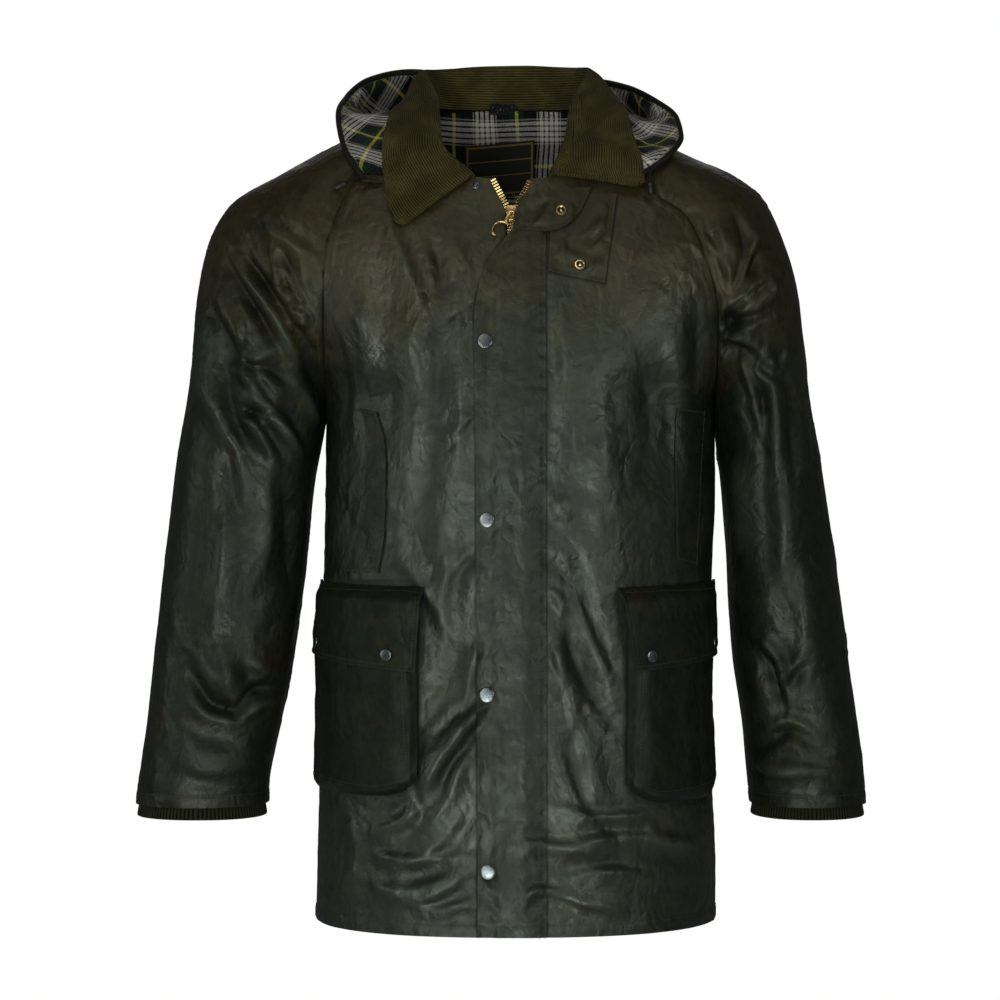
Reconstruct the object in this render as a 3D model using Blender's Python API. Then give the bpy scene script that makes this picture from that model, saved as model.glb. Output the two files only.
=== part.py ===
"""A hooded waxed cotton jacket, filled out as if worn: hollow cloth walls, corduroy collar, metal zip.

Metres, +Z up. The jacket faces -Y and +X is the wearer's left. The origin is between the
shoulders, level with the back-neck seam, where the wearer carries the weight.
Each panel is a grid of points worked out from a short table of sections, given a wall of cloth.
"""

import math
from collections import namedtuple

import bmesh
import bpy
import numpy as np

# ---- driving dimensions --------------------------------------------------------------------
CLOTH = 0.002          # waxed cotton with its lining
THIN = 0.0012          # single layers: tapes, lining, label
SEAM = 0.0004          # gap between two pieces at a seam
LAY = 0.0009           # gap under a piece that lies on a panel

ARMPIT_Z = -0.318
HEM_Z = -0.845
SLIDER_Z = -0.127
ZIP_HALF = 0.0065      # centre front to the edge of each front below the slider
RING_POWER = 2.2       # 2 is an ellipse, more is squarer

SNAP_R = 0.0075
SNAP_HIGH = 0.0024

UPPER = [0, .07, .14, .2, .28, .35, .43, .5, .58, .65, .74, .82, .91, 1]   # neck to armpit
LOWER_BODY = [1 + k / 14 for k in range(1, 15)]                            # armpit to hem
LOWER_SLEEVE = [1 + k / 16 for k in range(1, 17)]                          # armpit to sleeve hem
FRONT_COLS = [0, .06, .13, .2, .28, .37, .46, .55, .64, .73, .82, .91, 1]
BACK_COLS = 16
SLEEVE_COLS = 16

LEFT, RIGHT = 1, -1    # the wearer's sides; also the sign of x


class Sections:
    """A table with named columns, read smoothly between its rows by the first column."""

    def __init__(self, names, rows):
        self.names = names.split()
        self.rows = np.array(rows, float)

    def at(self, name, t):
        return smooth(self.rows[:, 0], self.rows[:, self.names.index(name)], t)

    def point(self, names, t):
        return np.array([self.at(name, t) for name in names.split()])


def smooth(xs, ys, t):
    """Monotone cubic through the points, so nothing overshoots."""
    step = np.diff(xs)
    slope = np.diff(ys) / step
    tangent = np.zeros(len(xs))
    tangent[0], tangent[-1] = slope[0], slope[-1]
    for k in range(1, len(xs) - 1):
        if slope[k - 1] * slope[k] > 0:
            a, b = 2 * step[k] + step[k - 1], step[k] + 2 * step[k - 1]
            tangent[k] = (a + b) / (a / slope[k - 1] + b / slope[k])
    t = min(max(t, xs[0]), xs[-1])
    k = min(int(np.searchsorted(xs, t, side="right")) - 1, len(xs) - 2)
    h, s = step[k], (t - xs[k]) / step[k]
    return ((1 + 2 * s) * (1 - s) ** 2 * ys[k] + s * (1 - s) ** 2 * h * tangent[k]
            + s * s * (3 - 2 * s) * ys[k + 1] + s * s * (s - 1) * h * tangent[k + 1])


# ---- section tables ------------------------------------------------------------------------
# v runs 0 at the neck, 1 at the armpit, 2 at the hem. "inner" is the seam or underarm line of
# the sleeve and "outer" its shoulder line. "arc" is how far the sleeve closes round, in degrees.
SLEEVE_NAMES = "v in_x in_z out_x out_z mid_y half arc drop"
SLEEVE = {
    RIGHT: Sections(SLEEVE_NAMES, [
        [0.00, .0880, -.0170, .0890, -.0020, .005, .050, 90, .013],
        [0.20, .1630, -.0960, .1970, -.0530, .000, .090, 95, .004],
        [0.35, .1755, -.1240, .2450, -.0800, .000, .103, 100, .002],
        [0.50, .1870, -.1680, .2900, -.1080, .000, .112, 102, 0],
        [0.65, .1900, -.2230, .3140, -.1480, .000, .106, 112, 0],
        [0.82, .1912, -.2715, .3265, -.2050, .000, .098, 140, 0],
        [1.00, .1925, -.3180, .3325, -.2720, .000, .088, 180, 0],
        [1.10, .1962, -.3450, .3385, -.3180, .000, .083, 180, 0],
        [1.25, .2048, -.3930, .3480, -.3750, .000, .079, 180, 0],
        [1.40, .2110, -.4557, .3575, -.4557, .000, .076, 180, 0],
        [1.55, .2183, -.5182, .3652, -.5182, -.002, .074, 180, 0],
        [1.70, .2266, -.5807, .3715, -.5807, -.005, .072, 180, 0],
        [1.85, .2381, -.6432, .3777, -.6432, -.008, .070, 180, 0],
        [1.95, .2516, -.7057, .3861, -.7057, -.010, .067, 180, 0],
        [2.00, .2527, -.7266, .3890, -.7266, -.010, .066, 180, 0]]),
    LEFT: Sections(SLEEVE_NAMES, [
        [0.00, .0880, -.0170, .0890, -.0020, .005, .050, 90, .013],
        [0.20, .1420, -.0980, .1830, -.0560, .000, .090, 95, .004],
        [0.35, .1760, -.1280, .2280, -.0770, .000, .103, 100, .002],
        [0.50, .1920, -.1660, .2620, -.1040, .000, .112, 102, 0],
        [0.65, .2070, -.2230, .2800, -.1420, .000, .108, 112, 0],
        [0.82, .2092, -.2700, .2945, -.1900, .000, .102, 140, 0],
        [1.00, .2110, -.3180, .3050, -.2650, .003, .094, 180, 0],
        [1.10, .2128, -.3450, .3115, -.3180, .005, .090, 180, 0],
        [1.25, .2183, -.3930, .3220, -.3750, .007, .088, 180, 0],
        [1.40, .2235, -.4557, .3339, -.4557, .007, .085, 180, 0],
        [1.55, .2266, -.5182, .3433, -.5182, .005, .082, 180, 0],
        [1.70, .2308, -.5807, .3506, -.5807, .002, .078, 180, 0],
        [1.85, .2401, -.6432, .3589, -.6432, -.002, .074, 180, 0],
        [1.95, .2454, -.7057, .3662, -.7057, -.005, .070, 180, 0],
        [2.00, .2475, -.7266, .3668, -.7266, -.006, .069, 180, 0]]),
}
# The centre-front edge, how far each row runs straight from it (lead), and the heading and
# reach with which the row arrives at the raglan or side seam.
FRONT = Sections("v edge_x edge_y edge_z lead to_x to_y to_z reach", [
    [0.00, .0185, -.1000, -.0910, .040, .03, .60, .60, .035],
    [0.10, .0125, -.1050, -.1080, .048, .50, .55, .45, .036],
    [0.20, .0068, -.1110, -.1280, .070, .80, .40, .25, .040],
    [0.35, ZIP_HALF, -.1220, -.1600, .085, .85, .42, .12, .050],
    [0.50, ZIP_HALF, -.1310, -.1950, .100, .88, .42, .03, .055],
    [0.65, ZIP_HALF, -.1380, -.2350, .110, .75, .62, .00, .060],
    [0.82, ZIP_HALF, -.1430, -.2750, .118, .40, .90, .00, .070],
    [1.00, ZIP_HALF, -.1470, ARMPIT_Z, .120, .03, 1.0, .00, .090],
    [1.50, ZIP_HALF, -.1500, -.5820, .125, .00, 1.0, .00, .095],
    [2.00, ZIP_HALF, -.1580, HEM_Z, .130, .00, 1.0, .00, .100],
])
BACK = Sections("v mid_y mid_z lead to_x to_y to_z reach", [
    [0.00, .0780, .0000, .045, .35, -.90, .00, .020],
    [0.20, .1080, -.0450, .070, .85, -.35, -.35, .040],
    [0.35, .1210, -.0900, .085, .88, -.40, -.15, .050],
    [0.50, .1300, -.1450, .095, .88, -.45, -.05, .055],
    [0.65, .1330, -.2100, .105, .75, -.65, .00, .060],
    [0.82, .1310, -.2680, .112, .40, -.90, .00, .070],
    [1.00, .1280, ARMPIT_Z, .115, .03, -1.0, .00, .080],
    [1.35, .1200, -.5020, .115, .00, -1.0, .00, .075],
    [1.70, .1260, -.6870, .120, .00, -1.0, .00, .080],
    [2.00, .1360, HEM_Z, .125, .00, -1.0, .00, .085],
])
SIDE = Sections("v right_x left_x", [
    [1.00, .1925, .2110],
    [1.15, .1930, .2112],
    [1.35, .1940, .2075],
    [1.50, .1965, .2055],
    [1.70, .1990, .2070],
    [1.90, .2015, .2115],
    [2.00, .2030, .2110],
])

# The largest folds, each through three points of the front view. All in millimetres: width is the
# half-width and rise the height, below zero for a trough.
Fold = namedtuple("Fold", "x0 z0 x1 z1 x2 z2 width rise")
SLEEVE_FOLDS = {
    RIGHT: [
        Fold(-300, -140, -246, -232, -214, -280, 20, -7),
        Fold(-322, -220, -300, -262, -272, -290, 19, -6),
        Fold(-277, -290, -245, -345, -206, -395, 21, 7),
        Fold(-290, -345, -281, -395, -272, -440, 19, -6),
        Fold(-325, -229, -315, -300, -305, -370, 20, 6),
        Fold(-300, -560, -292, -590, -288, -610, 20, 5),
        Fold(-331, -582, -300, -632, -249, -612, 21, -7)],
    LEFT: [
        Fold(214, -246, 240, -232, 270, -212, 20, 6),
        Fold(246, -262, 264, -276, 280, -300, 19, -6),
        Fold(236, -290, 250, -330, 256, -380, 19, -6),
        Fold(272, -309, 276, -370, 280, -440, 21, 6),
        Fold(250, -564, 270, -600, 286, -630, 21, -6),
        Fold(250, -664, 284, -640, 320, -652, 18, -5)],
}
FRONT_FOLDS = [
    Fold(-36, -610, -60, -664, -92, -720, 25, 6),
    Fold(-98, -200, -90, -300, -86, -410, 24, 5),
    Fold(-128, -230, -122, -320, -118, -430, 22, -5),
    Fold(-80, -500, -66, -560, -60, -600, 24, -4),
    Fold(82, -300, 96, -420, 104, -500, 24, 5),
    Fold(60, -460, 74, -580, 80, -680, 22, -5),
    Fold(60, -700, 78, -760, 92, -820, 22, 5),
    Fold(-126, -745, -118, -790, -110, -835, 22, 5),
]
BACK_FOLDS = [
    Fold(-150, -300, -120, -380, -70, -440, 24, 6),
    Fold(150, -310, 125, -390, 72, -450, 24, 6),
    Fold(-100, -470, -92, -600, -104, -740, 24, 5),
    Fold(98, -480, 88, -620, 100, -760, 24, 5),
    Fold(-20, -520, -12, -640, -24, -760, 24, -5),
]
BEHIND_SHIFT = 0.03    # the sleeves' back folds are the front's, this much higher


# ---- point functions -----------------------------------------------------------------------
def bend(value, power=RING_POWER):
    return math.copysign(abs(value) ** (2 / power), value)


def sleeve_point(side, turn, v):
    """turn runs 0 to 1: front seam or underarm, over the shoulder line, to the back seam."""
    s = SLEEVE[side]
    inner = np.array([side * s.at("in_x", v), s.at("mid_y", v), s.at("in_z", v)])
    outer = np.array([side * s.at("out_x", v), s.at("mid_y", v), s.at("out_z", v)])
    arc = math.radians(s.at("arc", v))
    angle = arc * (2 * turn - 1)
    out = (outer - inner) / (1 - bend(math.cos(arc)))
    deep = np.array([0, s.at("half", v), s.at("drop", v)])
    return outer - out + out * bend(math.cos(angle)) + deep * bend(math.sin(angle))


def bezier(p0, p1, p2, p3, t):
    s = 1 - t
    return s ** 3 * p0 + 3 * s * s * t * p1 + 3 * s * t * t * p2 + t ** 3 * p3


def seam_point(side, v, back=False):
    """Where the body panels end: the raglan seam down to the armpit, then the side seam."""
    if v < 1:
        return sleeve_point(side, 1 if back else 0, v)
    x = side * SIDE.at("right_x" if side == RIGHT else "left_x", v)
    return np.array([x, 0, ARMPIT_Z + (v - 1) * (HEM_Z - ARMPIT_Z)])


def row_point(start, end, side, table, lead, v, t):
    heading = table.point("to_x to_y to_z", v)
    heading = heading / np.linalg.norm(heading) * np.array([side, 1, 1])
    first = start + np.array([side * lead, 0, 0])
    return bezier(start, first, end - heading * table.at("reach", v), end, t)


def front_point(side, u, v):
    """u runs 0 at the centre-front edge to 1 at the seam."""
    start = FRONT.point("edge_x edge_y edge_z", v) * np.array([side, 1, 1])
    return row_point(start, seam_point(side, v), side, FRONT, FRONT.at("lead", v), v, u)


def back_point(u, v):
    """u runs -1 at the right seam, 0 at the centre back, to 1 at the left seam."""
    side = LEFT if u >= 0 else RIGHT
    start = np.array([0, BACK.at("mid_y", v), BACK.at("mid_z", v)])
    return row_point(start, seam_point(side, v, back=True), side, BACK, BACK.at("lead", v), v, abs(u))


def fold_rise(folds, point):
    """Height that the folds add at a point, from its place in the front view."""
    rise = 0.0
    x, z = point[0] * 1000, point[2] * 1000
    for f in folds:
        nearest = None
        for ax, az, bx, bz, start in ((f.x0, f.z0, f.x1, f.z1, 0), (f.x1, f.z1, f.x2, f.z2, .5)):
            run = (bx - ax) ** 2 + (bz - az) ** 2
            s = min(max(((x - ax) * (bx - ax) + (z - az) * (bz - az)) / run, 0), 1)
            away = math.hypot(x - ax - s * (bx - ax), z - az - s * (bz - az))
            nearest = min(nearest or (away, start + s / 2), (away, start + s / 2))
        away, along = nearest
        swell = .35 + .65 * math.sin(math.pi * along)
        rise += f.rise / 1000 * math.exp(-(away / f.width) ** 2) * swell
    return rise


# ---- building walls ------------------------------------------------------------------------
def grid(function, us, vs):
    return np.array([[function(u, v) for u in us] for v in vs])


def quads(rows, cols, flip=False, around=0):
    """Faces of a grid. With around set, the last column is the first again after that many."""
    faces = []
    wide = around or cols
    for i in range(rows - 1):
        for j in range(cols - 1):
            k = (j + 1) % around if around else j + 1
            face = [i * wide + j, i * wide + k, (i + 1) * wide + k, (i + 1) * wide + j]
            faces.append(face[::-1] if flip else face)
    return faces


def point_normals(points, faces):
    total = np.zeros_like(points)
    for face in faces:
        a, b, c, d = points[face]
        total[face] += np.cross(c - a, d - b)
    return total / np.maximum(np.linalg.norm(total, axis=1, keepdims=True), 1e-12)


def make(name, points, faces, material):
    mesh = bpy.data.meshes.new(name)
    mesh.from_pydata([tuple(p) for p in points], [], [tuple(f) for f in faces])
    mesh.materials.append(material)
    work = bmesh.new()
    work.from_mesh(mesh)
    bmesh.ops.triangulate(work, faces=work.faces[:], quad_method="FIXED")
    bmesh.ops.recalc_face_normals(work, faces=work.faces[:])
    work.to_mesh(mesh)
    work.free()
    item = bpy.data.objects.new(name, mesh)
    bpy.context.scene.collection.objects.link(item)
    mesh.shade_smooth()
    mesh.set_sharp_from_angle(angle=math.radians(40))
    return item


def wall(name, outer, faces, material, thick=CLOTH, normals=None):
    """A closed wall: the outer points, a copy of them moved in, and a strip round each open edge."""
    normals = point_normals(outer, faces) if normals is None else normals
    count = len(outer)
    edges = {}
    for face in faces:
        for a, b in zip(face, face[1:] + face[:1]):
            edges[a, b] = True
    rim = [(a, b) for a, b in edges if (b, a) not in edges]
    every = list(faces)
    every += [[k + count for k in face[::-1]] for face in faces]
    every += [[b, a, a + count, b + count] for a, b in rim]
    return make(name, np.vstack([outer, outer - normals * thick]), every, material)


def grid_wall(name, points, material, thick=CLOTH, flip=False, normals=None):
    rows, cols = points.shape[:2]
    flat = normals.reshape(-1, 3) if normals is not None else None
    return wall(name, points.reshape(-1, 3), quads(rows, cols, flip), material, thick, flat)


def pull_in(line, neighbour, gap):
    """Moves an edge line of a grid towards its neighbour, which opens a seam gap."""
    way = neighbour - line
    return line + way / np.linalg.norm(way, axis=-1, keepdims=True) * gap


# ---- materials -----------------------------------------------------------------------------
FINISH = {
    "waxed_cotton": ((.030, .038, .028), .42, 0),
    "corduroy": ((.035, .032, .014), .85, 0),
    "rib_knit": ((.022, .022, .012), .9, 0),
    "tartan": ((.03, .07, .05), .85, 0),
    "label_cloth": ((.02, .03, .02), .7, 0),
    "brass": ((.75, .55, .22), .3, 1),
    "gunmetal": ((.25, .26, .26), .35, 1),
    "cord": ((.02, .02, .015), .8, 0),
    "toggle": ((.06, .04, .02), .5, 0),
}


def finishes():
    made = {}
    for name, (colour, rough, metal) in FINISH.items():
        material = bpy.data.materials.new(name)
        material.use_nodes = True
        shader = material.node_tree.nodes["Principled BSDF"]
        shader.inputs["Base Color"].default_value = (*colour, 1)
        shader.inputs["Roughness"].default_value = rough
        shader.inputs["Metallic"].default_value = metal
        made[name] = material
    return made


# ---- main panels ---------------------------------------------------------------------------
class Panels:
    """The five cloth panels as grids, with normals shared along their seams."""

    def __init__(self):
        body_rows = UPPER + LOWER_BODY
        self.body_rows = body_rows
        self.grids, self.faces, self.normals = {}, {}, {}
        for side, word in ((RIGHT, "right"), (LEFT, "left")):
            cloth = grid(lambda u, v: front_point(side, u, v), FRONT_COLS, body_rows)
            self.add("front_" + word, cloth, side == LEFT)
            self.add_sleeve(side, word)
        us = np.linspace(-1, 1, BACK_COLS + 1)
        self.add("back", grid(back_point, us, body_rows), False)
        self.share_normals()
        self.fold("front_right", FRONT_FOLDS)
        self.fold("front_left", FRONT_FOLDS)
        self.fold("back", BACK_FOLDS)
        self.fold("sleeve_right", SLEEVE_FOLDS[RIGHT])
        self.fold("sleeve_left", SLEEVE_FOLDS[LEFT])
        self.open_seams()

    def add(self, name, cloth, flip):
        self.grids[name] = cloth
        self.faces[name] = quads(*cloth.shape[:2], flip=flip)

    def add_sleeve(self, side, word):
        """Open at the raglan seam, and from the armpit down a closed tube."""
        name = "sleeve_" + word
        turns = np.linspace(0, 1, SLEEVE_COLS + 1)
        self.add(name, grid(lambda t, v: sleeve_point(side, t, v), turns, UPPER + LOWER_SLEEVE), side == LEFT)
        wide = SLEEVE_COLS + 1
        closed = (len(UPPER) - 1) * wide
        self.faces[name] = [[k - SLEEVE_COLS if k >= closed and k % wide == SLEEVE_COLS else k for k in face]
                            for face in self.faces[name]]

    def share_normals(self):
        """Averages the normals along the seams, but not in the underarm's sharp valley."""
        valley = next(k for k, v in enumerate(UPPER) if v > .8)
        armpit = len(UPPER) - 1
        total = {}
        for name, cloth in self.grids.items():
            points = cloth.reshape(-1, 3)
            self.normals[name] = point_normals(points, self.faces[name]).reshape(cloth.shape)
            for i, j, key in self.seam_keys(name, valley, armpit):
                total[key] = total.get(key, 0) + self.normals[name][i, j]
        for name in self.grids:
            for i, j, key in self.seam_keys(name, valley, armpit):
                self.normals[name][i, j] = total[key] / np.linalg.norm(total[key])

    def seam_keys(self, name, valley, armpit):
        cloth = self.grids[name]
        sleeve = name.startswith("sleeve")
        for i in range(len(cloth)):
            if valley <= i < armpit or (sleeve and i >= valley):
                continue
            for j in (0, -1):
                yield i, j, tuple(np.round(cloth[i, j], 6))

    def fold(self, name, folds):
        """Raises the folds, on both faces of a sleeve, and fades them out at the edges."""
        cloth, normals = self.grids[name], self.normals[name]
        rows, cols = cloth.shape[:2]
        sleeve = name.startswith("sleeve")
        for i in range(rows):
            for j in range(cols):
                edge = 1 if sleeve and i >= len(UPPER) else min(j, cols - 1 - j, 2) / 2
                edge *= min(i, rows - 1 - i, 2) / 2
                facing = abs(normals[i, j, 1]) ** .5
                behind = sleeve and normals[i, j, 1] > 0
                place = cloth[i, j] - [0, 0, BEHIND_SHIFT if behind else 0]
                cloth[i, j] += normals[i, j] * fold_rise(folds, place) * facing * edge

    def open_seams(self):
        half = SEAM / 2
        for name, cloth in self.grids.items():
            upto = len(UPPER) - 1 if name.startswith("sleeve") else len(cloth)
            for edge, inner in ((0, 1), (-1, -2)):
                if name.startswith("front") and edge == 0:
                    continue
                cloth[:upto, edge] = pull_in(cloth[:upto, edge], cloth[:upto, inner], half)
            if name.startswith("sleeve"):
                cloth[upto, [0, -1]] += np.array([np.sign(cloth[upto, 0, 0]) * 2 * SEAM, 0, -SEAM])

    def build(self, material):
        for name, cloth in self.grids.items():
            points = cloth.reshape(-1, 3)
            faces = self.faces[name]
            used = sorted({k for face in faces for k in face})
            place = {k: n for n, k in enumerate(used)}
            faces = [[place[k] for k in face] for face in faces]
            normals = self.normals[name].reshape(-1, 3)[used]
            wall(name, points[used], faces, material, CLOTH, normals)


PANELS = None


def mixed(grids, i, j, s, t):
    """A value read between four neighbours of a grid."""
    low = grids[i, j] * (1 - s) + grids[i, j + 1] * s
    high = grids[i + 1, j] * (1 - s) + grids[i + 1, j + 1] * s
    return low * (1 - t) + high * t


def on_front(side, u, v, out):
    """A point on the faceted front panel at u and v, moved out from it."""
    name = "front_right" if side == RIGHT else "front_left"
    cols, rows = np.array(FRONT_COLS), np.array(PANELS.body_rows)
    j = min(max(int(np.searchsorted(cols, u, side="right")) - 1, 0), len(cols) - 2)
    i = min(max(int(np.searchsorted(rows, v, side="right")) - 1, 0), len(rows) - 2)
    s = (u - cols[j]) / (cols[j + 1] - cols[j])
    t = (v - rows[i]) / (rows[i + 1] - rows[i])
    normal = mixed(PANELS.normals[name], i, j, s, t)
    return mixed(PANELS.grids[name], i, j, s, t) + normal / np.linalg.norm(normal) * out


def find_front(side, x, z):
    """u and v of the front panel's point at x and z in the front view."""
    u, v = .5, 1.2
    for _ in range(30):
        here = on_front(side, u, v, 0)
        du = (on_front(side, u + .01, v, 0) - here)[[0, 2]] / .01
        dv = (on_front(side, u, v + .01, 0) - here)[[0, 2]] / .01
        miss = np.array([x, z]) - here[[0, 2]]
        try:
            step = np.linalg.solve(np.array([du, dv]).T, miss)
        except np.linalg.LinAlgError:
            break
        u = min(max(u + max(-.2, min(.2, step[0])), -.08), 1.0)
        v = min(max(v + max(-.2, min(.2, step[1])), 0), 2)
    return u, v


def on_front_at(x, z, out):
    """A point on the fronts from its place in the front view; the zip gap is bridged."""
    if abs(x) < ZIP_HALF:
        half = (x / ZIP_HALF + 1) / 2
        a = on_front_at(-ZIP_HALF - 1e-5, z, out)
        b = on_front_at(ZIP_HALF + 1e-5, z, out)
        return a * (1 - half) + b * half
    side = LEFT if x > 0 else RIGHT
    return on_front(side, *find_front(side, x, z), out)


def between(corners, s, t):
    """x and z inside four corners, given as top a, top b, low b, low a."""
    (ax, az), (bx, bz), (cx, cz), (dx, dz) = corners
    x = (ax * (1 - s) + bx * s) * (1 - t) + (dx * (1 - s) + cx * s) * t
    z = (az * (1 - s) + bz * s) * (1 - t) + (dz * (1 - s) + cz * s) * t
    return x, z


def patch(name, corners, counts, out, material, thick, crown=0.0):
    """A piece that lies on the fronts, between four corners, out from them and a little crowned."""
    cols, rows = counts
    points = np.zeros((rows + 1, cols + 1, 3))
    for i in range(rows + 1):
        for j in range(cols + 1):
            s, t = j / cols, i / rows
            rise = crown * math.sin(math.pi * s) * math.sin(math.pi * t)
            points[i, j] = on_front_at(*between(corners, s, t), out + thick + rise)
    return grid_wall(name, points, material, thick, flip=True)


# ---- small hardware ------------------------------------------------------------------------
def basis(normal, up=(0, 0, 1)):
    normal = np.array(normal, float) / np.linalg.norm(normal)
    side = np.cross(up, normal)
    side /= np.linalg.norm(side)
    return side, np.cross(normal, side), normal


def turned(name, centre, normal, profile, material, sides=10):
    """A turned piece: profile is radius and height from its seat, centre line first and last."""
    side, up, out = basis(normal)
    points = [centre + out * profile[0][1]]
    for radius, high in profile[1:-1]:
        for k in range(sides):
            angle = 2 * math.pi * k / sides
            points.append(centre + out * high + (side * math.cos(angle) + up * math.sin(angle)) * radius)
    points.append(centre + out * profile[-1][1])
    faces = []
    rings = len(profile) - 2
    for k in range(sides):
        n = (k + 1) % sides
        faces.append([0, 1 + n, 1 + k])
        for r in range(rings - 1):
            low, high = 1 + r * sides, 1 + (r + 1) * sides
            faces.append([low + k, low + n, high + n, high + k])
        top = 1 + (rings - 1) * sides
        faces.append([top + k, top + n, len(points) - 1])
    return make(name, np.array(points), faces, material)


def block(name, centre, axes, size, material):
    """A box with its own three axes."""
    points = []
    for sx in (-1, 1):
        for sy in (-1, 1):
            for sz in (-1, 1):
                points.append(centre + axes[0] * sx * size[0] / 2 + axes[1] * sy * size[1] / 2
                              + axes[2] * sz * size[2] / 2)
    faces = [[0, 1, 3, 2], [4, 6, 7, 5], [0, 4, 5, 1], [2, 3, 7, 6], [0, 2, 6, 4], [1, 5, 7, 3]]
    return make(name, np.array(points), faces, material)


def ring(name, centre, axes, major, minor, material, sides=18, round_sides=6):
    """A torus whose axis is axes[2]."""
    points, faces = [], []
    for k in range(sides):
        a = 2 * math.pi * k / sides
        spoke = axes[0] * math.cos(a) + axes[1] * math.sin(a)
        for m in range(round_sides):
            b = 2 * math.pi * m / round_sides
            points.append(centre + spoke * (major + minor * math.cos(b)) + axes[2] * minor * math.sin(b))
    for k in range(sides):
        for m in range(round_sides):
            n, q = (k + 1) % sides, (m + 1) % round_sides
            faces.append([k * round_sides + m, n * round_sides + m, n * round_sides + q, k * round_sides + q])
    return make(name, np.array(points), faces, material)


def join_solids(base, others):
    """One closed body from several that overlap."""
    for other in others:
        union = base.modifiers.new("join", "BOOLEAN")
        union.operation = "UNION"
        union.solver = "EXACT"
        union.object = other
        bpy.context.view_layer.update()
        mesh = bpy.data.meshes.new_from_object(base.evaluated_get(bpy.context.evaluated_depsgraph_get()))
        base.modifiers.clear()
        base.data = mesh
        bpy.data.objects.remove(other)
    return base


# ---- collar --------------------------------------------------------------------------------
# s runs round the neck from the right front end to the left one. Each station gives the neck
# seam, the roll line where the collar turns over, and its free edge.
COLLAR = Sections("s seam_x seam_y seam_z roll_x roll_y roll_z edge_x edge_y edge_z", [
    [0.0, -.0360, -.1010, -.0890, -.0375, -.1060, -.0855, -.1130, -.1270, -.1430],
    [1.0, -.0550, -.0960, -.0800, -.0540, -.0940, -.0700, -.1232, -.1140, -.1185],
    [2.0, -.0700, -.0830, -.0650, -.0690, -.0780, -.0510, -.1312, -.0900, -.0707],
    [3.0, -.0850, -.0480, -.0290, -.0740, -.0350, -.0190, -.1290, -.0760, -.0400],
    [4.0, -.0870, -.0100, -.0030, -.0760, .0000, .0060, -.1220, -.0300, -.0080],
    [5.0, -.0830, .0300, .0010, -.0890, .0400, .0400, -.1180, .0350, -.0020],
    [6.0, -.0600, .0620, .0020, -.0660, .0660, .0460, -.0900, .1000, -.0080],
    [7.0, .0000, .0780, .0030, .0000, .0780, .0515, .0000, .1080, -.0110],
    [8.0, .0600, .0620, .0020, .0600, .0660, .0475, .0900, .1000, -.0080],
    [9.0, .0830, .0300, .0010, .0790, .0420, .0430, .1160, .0350, -.0020],
    [10.0, .0870, -.0100, -.0030, .0650, .0000, .0080, .1170, -.0300, -.0060],
    [11.0, .0850, -.0480, -.0290, .0570, -.0350, -.0230, .1230, -.0760, -.0420],
    [12.0, .0700, -.0830, -.0650, .0510, -.0800, -.0535, .1323, -.0920, -.0735],
    [13.0, .0550, -.0960, -.0800, .0430, -.0950, -.0715, .1340, -.1010, -.0920],
    [14.0, .0360, -.1010, -.0890, .0362, -.1050, -.0840, .1290, -.1050, -.0985],
])
COLLAR_WALL = .0026
COLLAR_ROLL = .0036     # half the thickness of the turned-over fold
COLLAR_ROWS = [0, .18, .34, .42, .5, .58, .7, .85, 1]
COLLAR_PLACES = np.array([0, .22, .38, .46, .55, .68, 1])     # where the section's knots lie on t


def collar_point(s, t):
    """t runs 0 at the neck seam, .46 at the roll, 1 at the free edge."""
    seam = COLLAR.point("seam_x seam_y seam_z", s)
    roll = COLLAR.point("roll_x roll_y roll_z", s)
    edge = COLLAR.point("edge_x edge_y edge_z", s)
    away = edge - seam
    away[2] = 0
    away /= np.linalg.norm(away)
    end = min(s, 14 - s)
    lift = COLLAR_ROLL * min(1, end / 2 + .35)
    inside, outside = roll - away * lift * .2, roll + away * lift * 1.8
    under = outside * .75 + edge * .25 + np.array([0, 0, .004]) * min(1, end)
    knots = np.array([seam, seam * .45 + inside * .55, roll - [0, 0, lift * .6], roll + away * lift * .8,
                      outside - [0, 0, lift * .5], under, edge])
    return np.array([smooth(COLLAR_PLACES, knots[:, axis], t) for axis in range(3)])


def build_collar(material):
    stations = [0, .4] + [k / 2 for k in range(2, 27)] + [13.6, 14]
    grid_wall("collar", grid(collar_point, stations, COLLAR_ROWS), material, COLLAR_WALL)


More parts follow.
